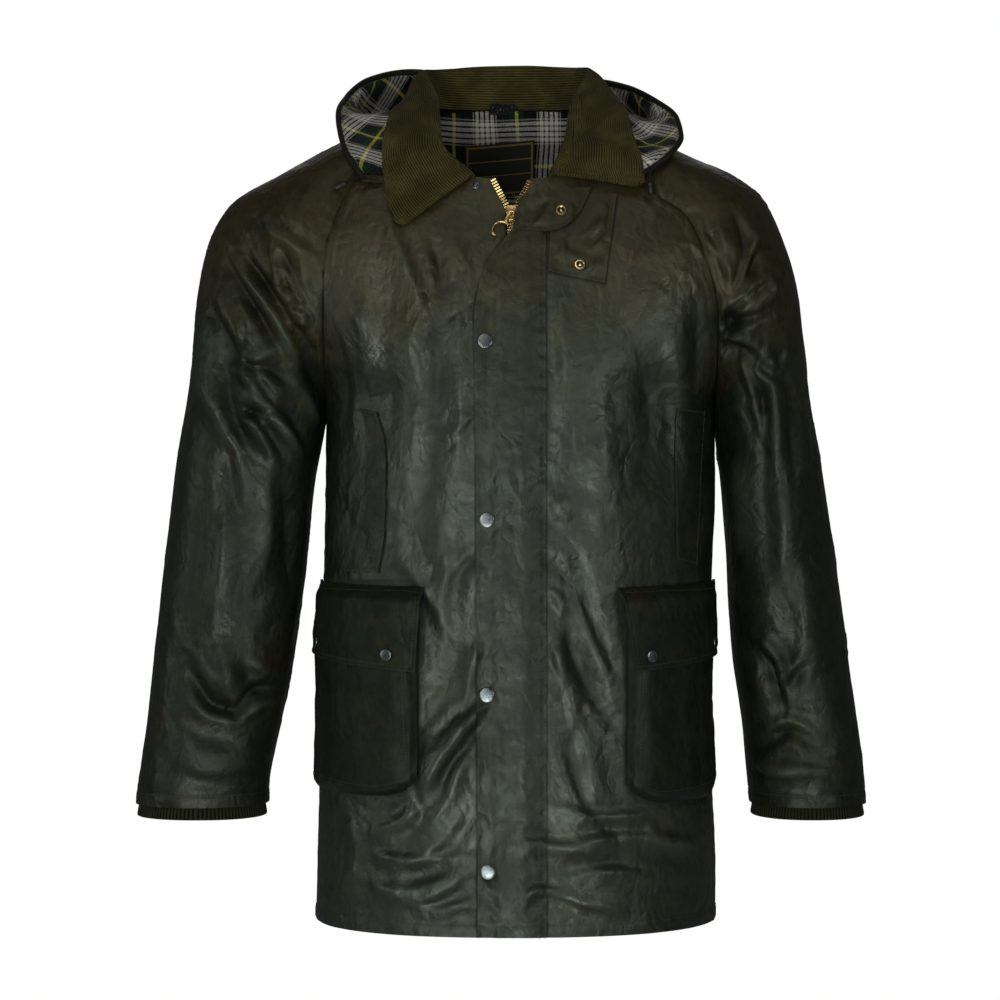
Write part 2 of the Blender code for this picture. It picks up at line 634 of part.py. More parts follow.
# ---- hood ----------------------------------------------------------------------------------
# s runs round the opening from the right front end to the left one: the rim, the line where the
# cloth meets the shoulders, how deep the pouch hangs between them, and how far each layer bulges.
HOOD = Sections("s rim_x rim_y rim_z neck_x neck_y neck_z deep out near", [
    [0, -.1535, -.0960, -.0870, -.1400, -.0955, -.0790, .002, .000, .000],
    [1, -.1720, -.0620, -.0540, -.1400, -.0810, -.0440, .004, .002, .000],
    [2, -.1804, -.0100, -.0120, -.1370, -.0350, -.0130, .006, .004, .000],
    [3, -.1760, .0450, .0120, -.1330, .0250, -.0120, .010, .006, .004],
    [4, -.1550, .0900, .0350, -.1180, .0800, -.0220, .090, .024, .028],
    [5, -.1000, .1320, .0460, -.0750, .1150, -.0300, .200, .034, .031],
    [6, .0000, .1580, .0470, .0000, .1240, -.0320, .250, .036, .029],
    [7, .0850, .1320, .0450, .0750, .1150, -.0300, .200, .034, .031],
    [8, .1250, .0900, .0320, .1120, .0830, -.0220, .090, .024, .028],
    [9, .1550, .0450, .0080, .1280, .0280, -.0140, .014, .006, .008],
    [10, .1724, .0000, -.0180, .1360, -.0300, -.0150, .008, .004, .002],
    [11, .1745, -.0350, -.0420, .1400, -.0600, -.0330, .006, .003, .000],
    [12, .1610, -.0760, -.0660, .1410, -.0850, -.0580, .004, .002, .000],
    [13, .1440, -.0970, -.0790, .1350, -.0990, -.0720, .002, .000, .000],
])
HOOD_WALL = .0018
HOOD_LINING = .0010
HOOD_LINING_GAP = .0014
HOOD_LINING_ROWS = 3   # rows of the hood grid that the lining covers, from the rim
HOOD_BARE = 3          # stations at each end of the rim with no lining
HOOD_ROWS = [0, .1, .22, .36, .5, .64, .8, 1]
HOOD_PLACES = np.array([0, .3, .5, .72, 1])     # where the section's knots lie on t


def hood_point(s, t):
    """t runs 0 at the rim, .5 at the bottom of the pouch, 1 at the neck."""
    rim = HOOD.point("rim_x rim_y rim_z", s)
    neck = HOOD.point("neck_x neck_y neck_z", s)
    deep, out, near = HOOD.at("deep", s), HOOD.at("out", s), HOOD.at("near", s)
    away = rim * [1, 1, 0]
    away /= np.linalg.norm(away)
    hang = np.array([0, 0, -1.0])
    bottom = (rim * .45 + neck * .55) + hang * deep + away * near * 1.2
    outer = rim * .8 + neck * .2 + hang * deep * .55 + away * out
    inner = neck * .85 + rim * .15 + hang * deep * .5 + away * near
    knots = np.array([rim, outer, bottom, inner, neck])
    return np.array([smooth(HOOD_PLACES, knots[:, axis], t) for axis in range(3)])


def build_hood(finish):
    """The pouch of waxed cotton, and the tartan where it shows inside the rim."""
    stations = [k / 2 for k in range(27)]
    shell = grid(hood_point, stations, HOOD_ROWS)
    grid_wall("hood_shell", shell, finish["waxed_cotton"], HOOD_WALL)
    normals = point_normals(shell.reshape(-1, 3), quads(*shell.shape[:2])).reshape(shell.shape)
    part = (slice(0, HOOD_LINING_ROWS), slice(HOOD_BARE, -HOOD_BARE))
    lined = (shell - normals * (HOOD_WALL + HOOD_LINING_GAP))[part]
    lined[0] = lined[0] * .9 + lined[1] * .1
    grid_wall("hood_lining", lined, finish["tartan"], HOOD_LINING, normals=normals[part])


# ---- cuffs ---------------------------------------------------------------------------------
CUFF_WALL = .0018
CUFF_SIDES = 20
# v on the sleeve, how far inside it the rib stands, and how far below that place it reaches
CUFF_ROWS = [(1.955, .0034, 0), (2.0, .0034, 0), (2.0, .0030, .0125)]


def build_cuffs(material):
    """Ribbed cuffs that stand just inside the sleeve hems and show below them."""
    for side, word in ((RIGHT, "right"), (LEFT, "left")):
        rows = []
        for v, inset, down in CUFF_ROWS:
            middle = (sleeve_point(side, 0, v) + sleeve_point(side, .5, v)) / 2
            line = []
            for k in range(CUFF_SIDES):
                point = sleeve_point(side, k / CUFF_SIDES, v)
                way = point - middle
                line.append(point - way / np.linalg.norm(way) * inset - [0, 0, down])
            rows.append(line)
        faces = quads(len(rows), CUFF_SIDES + 1, side == LEFT, around=CUFF_SIDES)
        wall("cuff_" + word, np.array(rows).reshape(-1, 3), faces, material, CUFF_WALL)


# ---- pieces on the inside of the neck --------------------------------------------------------
INSIDE_GAP = .0008
LABEL_WALL = .0008
LABEL = dict(left=-.0495, right=.0250, tops=(-.030, -.057, -.084), slope=.0875)
LOOP = dict(left=-.0225, right=.0065, tops=(.0085, -.0030), y=.0745, curve=8, wall=.0010)


def back_inside(u, v, inward):
    """A point on the faceted back panel at u and v, moved in from it."""
    rows = np.array(PANELS.body_rows)
    place = (u + 1) / 2 * BACK_COLS
    j = min(int(place), BACK_COLS - 1)
    i = min(max(int(np.searchsorted(rows, v, side="right")) - 1, 0), len(rows) - 2)
    s, t = place - j, (v - rows[i]) / (rows[i + 1] - rows[i])
    normal = mixed(PANELS.normals["back"], i, j, s, t)
    return mixed(PANELS.grids["back"], i, j, s, t) - normal / np.linalg.norm(normal) * inward


def build_inside(finish):
    """The lining, the label on it and the loop on the neck seam."""
    half = BACK_COLS // 2
    us = [k / half for k in range(1 - half, half)]
    vs = [.02] + UPPER[1:8]
    deep = CLOTH + INSIDE_GAP + THIN
    lining = grid(lambda u, v: back_inside(u, v, deep), us, vs)
    grid_wall("lining_back", lining, finish["tartan"], THIN, flip=True)

    label = [[back_inside(*back_place(x, z + LABEL["slope"] * x), deep + LAY + LABEL_WALL)
              for x in np.linspace(LABEL["left"], LABEL["right"], 5)] for z in LABEL["tops"]]
    grid_wall("label", np.array(label), finish["label_cloth"], LABEL_WALL, flip=True)

    loop = [[(x, LOOP["y"] - LOOP["curve"] * x * x, z) for x in np.linspace(LOOP["left"], LOOP["right"], 4)]
            for z in LOOP["tops"]]
    grid_wall("hanger_loop", np.array(loop), finish["label_cloth"], LOOP["wall"], flip=True)


def back_place(x, z):
    """u and v of the back panel's point at x and z."""
    u, v = 0.0, .3
    for _ in range(30):
        here = back_inside(u, v, 0)
        du = (back_inside(u + .01, v, 0) - here)[[0, 2]] / .01
        dv = (back_inside(u, v + .01, 0) - here)[[0, 2]] / .01
        step = np.linalg.solve(np.array([du, dv]).T, np.array([x, z]) - here[[0, 2]])
        u = min(max(u + step[0], -.95), .95)
        v = min(max(v + step[1], 0), 1.5)
    return u, v


# ---- zip -----------------------------------------------------------------------------------
CHAIN_HALF = .0026     # each half of the closed chain
CHAIN_DEEP = .0036
CHAIN_OPEN = .0024     # how far the teeth stand in from the centre where the zip is open
TAPE_WIDE = .010
TAPE_WALL = .0012
SLIDER = (.0088, .0125, .0018)
SLIDER_OUT = .0016
SLIDER_X = -.0008
LUG = (.0010, .0024, .0040)
LUG_APART = .0024
BAR_R = .00085
BAR_LONG = .0056
HINGE_OUT = .0036      # from the slider's middle to the pull's hinge
PULL_LINK = (.0026, .0085, .0013)
PULL_RING = .0070
PULL_EYE = .0018
PULL_WIRE = .0006
GRIP_WIRE = .0010
CHEST_SLOPE = (-.95, .33)     # y and z of the way out of the chest at the slider
PULL_WAY = (-.30, -.34, -.92)


def unit(values):
    values = np.array(values, float)
    return values / np.linalg.norm(values)


def build_zip(finish):
    """Each half: a tape behind the front's edge with the teeth along it, from neck to hem."""
    rows = [0, .05, .1, .15] + UPPER[3:] + LOWER_BODY
    back = CLOTH + TAPE_WALL
    for side, word in ((RIGHT, "right"), (LEFT, "left")):
        bars = []
        for v in rows:
            edge = on_front(side, 0, min(v, 1.99), 0)
            apart = abs(edge[0]) - ZIP_HALF
            bead = max(0, apart - SEAM) + (LAY / 3 if apart < .0005 else CHAIN_OPEN)
            far = abs(edge[0]) + TAPE_WIDE
            lean = SEAM if v > .3 else 0
            cross = [(bead, back - CHAIN_DEEP), (bead + CHAIN_HALF, back - CHAIN_DEEP),
                     (bead + CHAIN_HALF, back), (far, back), (far, back + TAPE_WALL),
                     (bead, back + TAPE_WALL)]
            bars.append([(side * x, edge[1] + y + lean, edge[2]) for x, y in cross])
        points = np.array(bars).reshape(-1, 3)
        sides = len(bars[0])
        faces = quads(len(rows), sides + 1, side == RIGHT, around=sides)
        last = (len(rows) - 1) * sides
        faces += [list(range(sides)), list(range(last, last + sides))[::-1]]
        make("zip_chain_" + word, points, faces, finish["brass"])
    build_slider(finish["brass"])


def build_slider(material):
    """The slider's body with two lugs and a bar across them, which carries the pull."""
    out = unit((0, *CHEST_SLOPE))
    across = np.array([1.0, 0, 0])
    axes = (across, np.cross(out, across), out)
    base = np.array([SLIDER_X, on_front(RIGHT, 0, .2, 0)[1], SLIDER_Z]) + out * SLIDER_OUT
    plate = block("zip_slider", base, axes, SLIDER, material)
    lugs = [block("lug", base + across * sign * LUG_APART + out * HINGE_OUT * .72, axes, LUG, material)
            for sign in (-1, 1)]
    hinge = base + out * HINGE_OUT
    bar = turned("bar", hinge - across * BAR_LONG / 2, across,
                 [(0, 0), (BAR_R, 0), (BAR_R, BAR_LONG), (0, BAR_LONG)], material, sides=8)
    join_solids(plate, lugs + [bar])
    build_pull(hinge, across, material)


def build_pull(hinge, across, material):
    """The pull tab: an eye on the slider's bar, a link and an open round grip."""
    way = unit(PULL_WAY)
    face = unit(np.cross(across, way))
    wide = np.cross(way, face)
    upright = (np.array([0, 0, 1.0]), np.array([0, -1.0, 0]), across)
    eye = ring("zip_pull", hinge, upright, PULL_EYE, PULL_WIRE, material, sides=12)
    long = PULL_LINK[1]
    link = block("link", hinge + way * (PULL_EYE + long / 2), (wide, way, face), PULL_LINK, material)
    grip = ring("grip", hinge + way * (PULL_EYE + long + PULL_RING - PULL_WIRE), (way, wide, face), PULL_RING,
                GRIP_WIRE, material)
    join_solids(eye, [link, grip])


# ---- storm flap, tab and welts -----------------------------------------------------------------
# The flap's free edge (x) and its sewn edge, down the front.
FLAP = Sections("down free_x sewn_x", [
    [.1530, .0060, .0335],
    [.1640, -.0060, .0335],
    [.1800, -.0190, .0335],
    [.2000, -.0290, .0335],
    [.2360, -.0372, .0335],
    [.3000, -.0362, .0335],
    [.5000, -.0345, .0335],
    [.8000, -.0335, .0335],
    [.8420, -.0335, .0335],
])
FLAP_WALL = .0022
FLAP_TOPS = [.153, .164, .18, .20, .236]
FLAP_STEP = .0505
FLAP_COLS = 6
FLAP_CROWN = .0024     # how far the flap bows over the zip


def flap_bow(s):
    """How far the flap stands off the front, from its free edge at 0 to its sewn edge at 1."""
    return LAY + FLAP_CROWN * math.sin(math.pi * min(1, (1 - s) * 1.2))


def build_flap(material):
    """The storm flap, sewn down one side and bowed over the zip."""
    downs = FLAP_TOPS + [FLAP_TOPS[-1] + k * FLAP_STEP for k in range(1, 12)] + [-HEM_Z - .0035]
    points = np.zeros((len(downs), FLAP_COLS + 1, 3))
    for i, down in enumerate(downs):
        free, sewn = FLAP.at("free_x", down), FLAP.at("sewn_x", down)
        for j in range(FLAP_COLS + 1):
            s = j / FLAP_COLS
            points[i, j] = on_front_at(free * (1 - s) + sewn * s, -down, flap_bow(s) + FLAP_WALL)
    grid_wall("storm_flap", points, material, FLAP_WALL, flip=True)


# Corners as x and z: top a, top b, low b, low a.
TURNBACK = [(.0085, -.1130), (.0780, -.1040), (.0620, -.1420), (.0050, -.1500)]
TURNBACK_LIFT = .0068
TURNBACK_CROWN = .0020
TURNBACK_WALL = .0020
TAB = [(.0400, -.1060), (.1050, -.1080), (.0920, -.1990), (.0365, -.1870)]
TAB_WALL = .0022
TAB_CROWN = .0012
WELT = {RIGHT: [(-.1500, -.3200), (-.1330, -.3240), (-.1380, -.4868), (-.1640, -.4862)],
        LEFT: [(.1620, -.3220), (.1900, -.3225), (.1840, -.4750), (.1640, -.4760)]}
WELT_WALL = .0014


def build_throat(material):
    """The tab that hangs under the collar, and the flap's top corner folded back over it."""
    patch("throat_tab", TAB, (5, 6), LAY, material, TAB_WALL, TAB_CROWN)
    rows, cols = 4, 6
    edge = ZIP_HALF + SEAM * 2
    points = np.zeros((rows + 1, cols + 1, 3))
    for i in range(rows + 1):
        for j in range(cols + 1):
            x, z = between(TURNBACK, j / cols, i / rows)
            lift = TURNBACK_LIFT + TURNBACK_CROWN * math.sin(math.pi * j / cols)
            points[i, j] = on_front_at(max(x, edge), z, lift) + [min(0, x - edge), 0, 0]
    grid_wall("flap_turnback", points, material, TURNBACK_WALL, flip=True)


# ---- bellows pockets -----------------------------------------------------------------------------
# Heights are z; "near" is the edge towards the centre front, as x, and "far" is the column of the
# front panel where the bag ends at the side.
POCKET = {
    RIGHT: dict(near=.0925, far=.955, top=-.515, bottom=-.706, flap_near=.0850, flap_low_near=.0965,
                flap_top=-.491, flap_low=-.583, snaps=[(.1230, -.5660), (.1930, -.5550)]),
    LEFT: dict(near=.1130, far=.955, top=-.515, bottom=-.712, flap_near=.1030, flap_low_near=.1210,
               flap_top=-.492, flap_low=-.583, snaps=[(.1350, -.5690), (.2020, -.5560)]),
}
POCKET_DEEP = .014
POCKET_WALL = .0018
SIDE_TAPER = .6        # the bellows are shallower at the side seam
GUSSET = .1            # share of the width over which the bag rises to its depth
FLAP_DEEP = .0022
FLAP_CLEAR = .0010     # between the bag and the flap over it
FLAP_FAR = .985        # column of the front panel where the flap ends
FLAP_TILT = .016       # how much lower the flap's near corner hangs
ACROSS = [0, .03, .1, .22, .36, .5, .64, .78, .9, .97, 1]
# down the bag and the share of its depth there; the same down the flap
BAG_ROWS = [(0, 1), (.2, 1), (.4, 1), (.6, 1), (.78, 1), (.9, .98), (.965, .8), (1, 0)]
FLAP_ROWS = [(0, 0), (.06, .45), (.2, 1), (.6, 1), (1, 1)]
BAG_CORNER = .012      # how far the bottom corner is rounded in


def pocket_rise(s):
    """Height of the bag above the panel across its width, on gusseted sides."""
    edge = min(s, 1 - s)
    return POCKET_DEEP * (1 - SIDE_TAPER * s) * min(1, edge / GUSSET) ** .5


def flap_rise(s):
    """Height of the pocket flap's underside above the panel, clear of the bag."""
    return POCKET_DEEP * (1 - SIDE_TAPER * s) + POCKET_WALL + FLAP_CLEAR


def place_across(side, near_x, far_u, z, s):
    """u and v at a share of the width from the near edge to a column of the panel."""
    u, v = find_front(side, side * near_x, z)
    return u + (far_u - u) * s, v


def build_pocket(side, word, finish):
    """The bellows bag, its flap and the flap's two snaps."""
    p = POCKET[side]
    bag = np.zeros((len(BAG_ROWS), len(ACROSS), 3))
    for i, (t, full) in enumerate(BAG_ROWS):
        z = p["top"] + (p["bottom"] - p["top"]) * t
        inset = BAG_CORNER * max(0, (t - .85) / .15) ** 2
        for j, s in enumerate(ACROSS):
            place = place_across(side, p["near"] + inset, p["far"], z, s)
            bag[i, j] = on_front(side, *place, LAY + POCKET_WALL + pocket_rise(s) * full)
    grid_wall("pocket_" + word, bag, finish["waxed_cotton"], POCKET_WALL, flip=side == LEFT)

    cols = 10
    flap = np.zeros((len(FLAP_ROWS), cols, 3))
    for i, (t, full) in enumerate(FLAP_ROWS):
        near = p["flap_near"] * (1 - t) + p["flap_low_near"] * t
        z = p["flap_top"] + (p["flap_low"] - p["flap_top"]) * t
        for j in range(cols):
            s = j / (cols - 1)
            place = place_across(side, near, FLAP_FAR, z + FLAP_TILT * t * (s - .5), s)
            flap[i, j] = on_front(side, *place, LAY + FLAP_DEEP + flap_rise(s) * full)
    grid_wall("pocket_flap_" + word, flap, finish["waxed_cotton"], FLAP_DEEP, flip=side == LEFT)

    for k, (x, z) in enumerate(p["snaps"]):
        u, v = find_front(side, side * x, z)
        near_u = place_across(side, p["flap_low_near"], FLAP_FAR, z, 0)[0]
        lift = LAY + FLAP_DEEP + flap_rise((u - near_u) / (FLAP_FAR - near_u)) + SNAP_SEAT
        snap("snap_pocket_" + word + "_" + str(k + 1), side, (u, v), lift, finish["gunmetal"], POCKET_SNAP_R)


# ---- press studs -----------------------------------------------------------------------------
SNAP_SEAT = .0004      # clearance under a cap
POCKET_SNAP_R = .0060
SOCKET_R = .0054
STUD_R = .0050
# x and z of the caps down the storm flap
FRONT_SNAPS = [(-.0268, -.2570), (-.0248, -.4337), (-.0248, -.6065), (-.0238, -.7806)]
TURNBACK_SOCKET = (.0489, -.1285)
TAB_SOCKET = (.0676, -.1813)
COLLAR_STUD = (-.0361, -.0985)


def snap(name, side, place, lift, material, radius=SNAP_R):
    """A domed cap, lifted off the front panel at u and v."""
    out = on_front(side, *place, 1) - on_front(side, *place, 0)
    profile = [(0, 0), (radius * .9, 0), (radius, SNAP_HIGH * .33), (radius * .86, SNAP_HIGH * .8),
               (radius * .5, SNAP_HIGH), (0, SNAP_HIGH + .0001)]
    turned(name, on_front(side, *place, lift), out, profile, material)


def snap_at(name, spot, lift, material, radius=SNAP_R):
    side = LEFT if spot[0] > 0 else RIGHT
    snap(name, side, find_front(side, *spot), lift, material, radius)


def build_snaps(finish):
    for k, spot in enumerate(FRONT_SNAPS):
        free, sewn = FLAP.at("free_x", -spot[1]), FLAP.at("sewn_x", -spot[1])
        inner = (spot[0] + SNAP_R - free) / (sewn - free)
        snap_at("snap_front_" + str(k + 1), spot, flap_bow(inner) + FLAP_WALL + SNAP_SEAT, finish["gunmetal"])
    lift = TURNBACK_LIFT + TURNBACK_CROWN + SNAP_SEAT
    snap_at("socket_turnback", TURNBACK_SOCKET, lift, finish["brass"], SOCKET_R)
    lift = LAY + TAB_WALL + TAB_CROWN
    snap_at("socket_tab", TAB_SOCKET, lift, finish["brass"], SOCKET_R)
    snap_at("stud_collar", COLLAR_STUD, SNAP_SEAT, finish["gunmetal"], STUD_R)


# ---- drawcord ends ---------------------------------------------------------------------------
CORD_R = .0012
CORDS = {
    "right": [(-.1400, -.0975, -.0802), (-.1450, -.0984, -.0840), (-.1500, -.0988, -.0870),
              (-.1550, -.0990, -.0896), (-.1608, -.0991, -.0924), (-.1668, -.0992, -.0952)],
    "left": [(.1522, -.0890, -.0752), (.1490, -.0945, -.0785), (.1455, -.0985, -.0803),
             (.1415, -.1010, -.0812), (.1388, -.1015, -.0850), (.1384, -.1010, -.0895),
             (.1388, -.1005, -.0940)],
}
TOGGLE_LONG = .012
TOGGLE_R = .0030
TOGGLE_EDGE = .0012
TOGGLE_GAP = .0003
CORD_STEPS = 12


def catmull(points, count):
    """Evenly read points of a smooth curve through the given ones."""
    pts = [np.array(p, float) for p in points]
    pts = [2 * pts[0] - pts[1]] + pts + [2 * pts[-1] - pts[-2]]
    spans = len(pts) - 3
    result = []
    for k in range(count + 1):
        place = min(k / count * spans, spans - 1e-9)
        i, t = int(place), place - int(place)
        a, b, c, d = pts[i:i + 4]
        result.append(.5 * (2 * b + (c - a) * t + (2 * a - 5 * b + 4 * c - d) * t * t
                            + (3 * b - a - 3 * c + d) * t ** 3))
    return result


def build_cords(finish):
    """The drawcord's two ends, each with a toggle face to face with its tip."""
    for word, route in CORDS.items():
        line = catmull(route, CORD_STEPS)
        curve = bpy.data.curves.new("hood_cord_" + word, "CURVE")
        curve.dimensions = "3D"
        curve.bevel_depth = CORD_R
        curve.bevel_resolution = 2
        curve.use_fill_caps = True
        spline = curve.splines.new("POLY")
        spline.points.add(len(line) - 1)
        for point, place in zip(spline.points, line):
            point.co = (*place, 1)
        curve.materials.append(finish["cord"])
        item = bpy.data.objects.new("hood_cord_" + word, curve)
        bpy.context.scene.collection.objects.link(item)
        way = unit(line[-1] - line[-2])
        profile = [(0, 0), (TOGGLE_R * .8, 0), (TOGGLE_R, TOGGLE_EDGE), (TOGGLE_R, TOGGLE_LONG - TOGGLE_EDGE),
                   (TOGGLE_R * .8, TOGGLE_LONG), (0, TOGGLE_LONG)]
        turned("toggle_" + word, line[-1] + way * TOGGLE_GAP, way, profile, finish["toggle"])


def main():
    global PANELS
    for item in list(bpy.data.objects):
        bpy.data.objects.remove(item)
    finish = finishes()
    PANELS = Panels()
    PANELS.build(finish["waxed_cotton"])
    build_collar(finish["corduroy"])
    build_hood(finish)
    build_cuffs(finish["rib_knit"])
    build_inside(finish)
    build_zip(finish)
    build_flap(finish["waxed_cotton"])
    build_throat(finish["waxed_cotton"])
    for side, word in ((RIGHT, "right"), (LEFT, "left")):
        patch("welt_" + word, WELT[side], (3, 9), LAY, finish["waxed_cotton"], WELT_WALL)
        build_pocket(side, word, finish)
    build_snaps(finish)
    build_cords(finish)


main()
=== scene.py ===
"""The looks of a hooded waxed cotton jacket: creased cloth walls, sewing, corduroy, knit and metal.

Metres, +Z up. The jacket faces -Y and +X is the wearer's left. Each cloth piece is worked out from
the tables of its solid on a finer grid, creased, and stands in that solid's place.
"""

import math
from collections import namedtuple

import bmesh
import bpy
import numpy as np
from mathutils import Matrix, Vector, noise


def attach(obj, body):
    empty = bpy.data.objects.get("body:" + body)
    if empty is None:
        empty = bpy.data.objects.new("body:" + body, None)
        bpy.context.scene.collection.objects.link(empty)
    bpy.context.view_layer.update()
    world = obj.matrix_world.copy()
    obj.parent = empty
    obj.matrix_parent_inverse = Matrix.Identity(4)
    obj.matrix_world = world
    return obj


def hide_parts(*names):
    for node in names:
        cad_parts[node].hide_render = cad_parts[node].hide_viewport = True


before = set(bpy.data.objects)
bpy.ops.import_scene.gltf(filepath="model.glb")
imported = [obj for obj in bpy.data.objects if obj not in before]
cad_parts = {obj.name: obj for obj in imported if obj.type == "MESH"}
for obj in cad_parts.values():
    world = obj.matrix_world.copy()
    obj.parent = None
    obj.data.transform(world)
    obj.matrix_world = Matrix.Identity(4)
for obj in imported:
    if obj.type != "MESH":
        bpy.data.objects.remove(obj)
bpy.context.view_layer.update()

# ---- driving dimensions ----
CLOTH = 0.002          # waxed cotton with its lining
THIN = 0.0012          # single layers: tapes, lining, label
SEAM = 0.0004          # clearance between pieces at a seam
LAY = 0.0009           # gap under a piece that lies on a panel

ARMPIT_Z = -0.318
HEM_Z = -0.845
SLIDER_Z = -0.127
ZIP_HALF = 0.0065      # centre front to the edge of each front below the slider
RING_POWER = 2.2       # 2 is an ellipse, more is squarer
HEM_STITCH = .012      # from the hem to its row of stitches

UPPER_ROWS = 120       # fine rows from the neck to the armpit, then on to each hem
BODY_ROWS = 192
SLEEVE_ROWS = 156
FRONT_COLS = 108
BACK_COLS = 180
SLEEVE_COLS = 144
COARSE = 3             # the inside of a wall has one row and column for this many outside

CLOTH_SHARP = 60       # degrees past which an edge is shaded sharp
METAL_SHARP = 35
ROW_SHARP = 40         # on stitches and teeth

LEFT, RIGHT = 1, -1    # the wearer's sides; also the sign of x
WORDS = {RIGHT: "right", LEFT: "left"}


class Sections:
    """A table with named columns, read smoothly between its rows by the first column."""

    def __init__(self, names, rows):
        self.names = names.split()
        self.rows = np.array(rows, float)

    def at(self, name, t):
        return smooth(self.rows[:, 0], self.rows[:, self.names.index(name)], t)

    def point(self, names, t):
        return stack(*(self.at(name, t) for name in names.split()))


def smooth(xs, ys, t):
    """Monotone cubic through the points, so nothing overshoots; t may be an array."""
    step = np.diff(xs)
    slope = np.diff(ys) / step
    tangent = np.zeros(len(xs))
    tangent[0], tangent[-1] = slope[0], slope[-1]
    for k in range(1, len(xs) - 1):
        if slope[k - 1] * slope[k] > 0:
            a, b = 2 * step[k] + step[k - 1], step[k] + 2 * step[k - 1]
            tangent[k] = (a + b) / (a / slope[k - 1] + b / slope[k])
    t = np.clip(t, xs[0], xs[-1])
    k = np.clip(np.searchsorted(xs, t, side="right") - 1, 0, len(xs) - 2)
    h, s = step[k], (t - xs[k]) / step[k]
    return ((1 + 2 * s) * (1 - s) ** 2 * ys[k] + s * (1 - s) ** 2 * h * tangent[k]
            + s * s * (3 - 2 * s) * ys[k + 1] + s * s * (s - 1) * h * tangent[k + 1])


def stack(*parts):
    return np.stack(np.broadcast_arrays(*parts), axis=-1)


def unit(vectors):
    vectors = np.asarray(vectors, float)
    return vectors / np.maximum(np.linalg.norm(vectors, axis=-1, keepdims=True), 1e-12)


def ease(low, high, value):
    """0 below low, 1 above high, and smooth between."""
    s = np.clip((value - low) / (high - low), 0, 1)
    return s * s * (3 - 2 * s)


# ---- section tables ----
# v runs 0 at the neck, 1 at the armpit, 2 at the hem. "inner" is the seam or underarm line of
# the sleeve and "outer" its shoulder line. "arc" is how far the sleeve closes round, in degrees.
SLEEVE_NAMES = "v in_x in_z out_x out_z mid_y half arc drop"
SLEEVE = {
    RIGHT: Sections(SLEEVE_NAMES, [
        [0.00, .0880, -.0170, .0890, -.0020, .005, .050, 90, .013],
        [0.20, .1630, -.0960, .1970, -.0530, .000, .090, 95, .004],
        [0.35, .1755, -.1240, .2450, -.0800, .000, .103, 100, .002],
        [0.50, .1870, -.1680, .2900, -.1080, .000, .112, 102, 0],
        [0.65, .1900, -.2230, .3140, -.1480, .000, .106, 112, 0],
        [0.82, .1912, -.2715, .3265, -.2050, .000, .098, 140, 0],
        [1.00, .1925, -.3180, .3325, -.2720, .000, .088, 180, 0],
        [1.10, .1962, -.3450, .3385, -.3180, .000, .083, 180, 0],
        [1.25, .2048, -.3930, .3480, -.3750, .000, .079, 180, 0],
        [1.40, .2110, -.4557, .3575, -.4557, .000, .076, 180, 0],
        [1.55, .2183, -.5182, .3652, -.5182, -.002, .074, 180, 0],
        [1.70, .2266, -.5807, .3715, -.5807, -.005, .072, 180, 0],
        [1.85, .2381, -.6432, .3777, -.6432, -.008, .070, 180, 0],
        [1.95, .2516, -.7057, .3861, -.7057, -.010, .067, 180, 0],
        [2.00, .2527, -.7266, .3890, -.7266, -.010, .066, 180, 0]]),
    LEFT: Sections(SLEEVE_NAMES, [
        [0.00, .0880, -.0170, .0890, -.0020, .005, .050, 90, .013],
        [0.20, .1420, -.0980, .1830, -.0560, .000, .090, 95, .004],
        [0.35, .1760, -.1280, .2280, -.0770, .000, .103, 100, .002],
        [0.50, .1920, -.1660, .2620, -.1040, .000, .112, 102, 0],
        [0.65, .2070, -.2230, .2800, -.1420, .000, .108, 112, 0],
        [0.82, .2092, -.2700, .2945, -.1900, .000, .102, 140, 0],
        [1.00, .2110, -.3180, .3050, -.2650, .003, .094, 180, 0],
        [1.10, .2128, -.3450, .3115, -.3180, .005, .090, 180, 0],
        [1.25, .2183, -.3930, .3220, -.3750, .007, .088, 180, 0],
        [1.40, .2235, -.4557, .3339, -.4557, .007, .085, 180, 0],
        [1.55, .2266, -.5182, .3433, -.5182, .005, .082, 180, 0],
        [1.70, .2308, -.5807, .3506, -.5807, .002, .078, 180, 0],
        [1.85, .2401, -.6432, .3589, -.6432, -.002, .074, 180, 0],
        [1.95, .2454, -.7057, .3662, -.7057, -.005, .070, 180, 0],
        [2.00, .2475, -.7266, .3668, -.7266, -.006, .069, 180, 0]]),
}
# The centre-front edge, how far each row runs straight from it (lead), and the heading and
# reach with which the row arrives at the raglan or side seam.
FRONT = Sections("v edge_x edge_y edge_z lead to_x to_y to_z reach", [
    [0.00, .0185, -.1000, -.0910, .040, .03, .60, .60, .035],
    [0.10, .0125, -.1050, -.1080, .048, .50, .55, .45, .036],
    [0.20, .0068, -.1110, -.1280, .070, .80, .40, .25, .040],
    [0.35, ZIP_HALF, -.1220, -.1600, .085, .85, .42, .12, .050],
    [0.50, ZIP_HALF, -.1310, -.1950, .100, .88, .42, .03, .055],
    [0.65, ZIP_HALF, -.1380, -.2350, .110, .75, .62, .00, .060],
    [0.82, ZIP_HALF, -.1430, -.2750, .118, .40, .90, .00, .070],
    [1.00, ZIP_HALF, -.1470, ARMPIT_Z, .120, .03, 1.0, .00, .090],
    [1.50, ZIP_HALF, -.1500, -.5820, .125, .00, 1.0, .00, .095],
    [2.00, ZIP_HALF, -.1580, HEM_Z, .130, .00, 1.0, .00, .100],
])
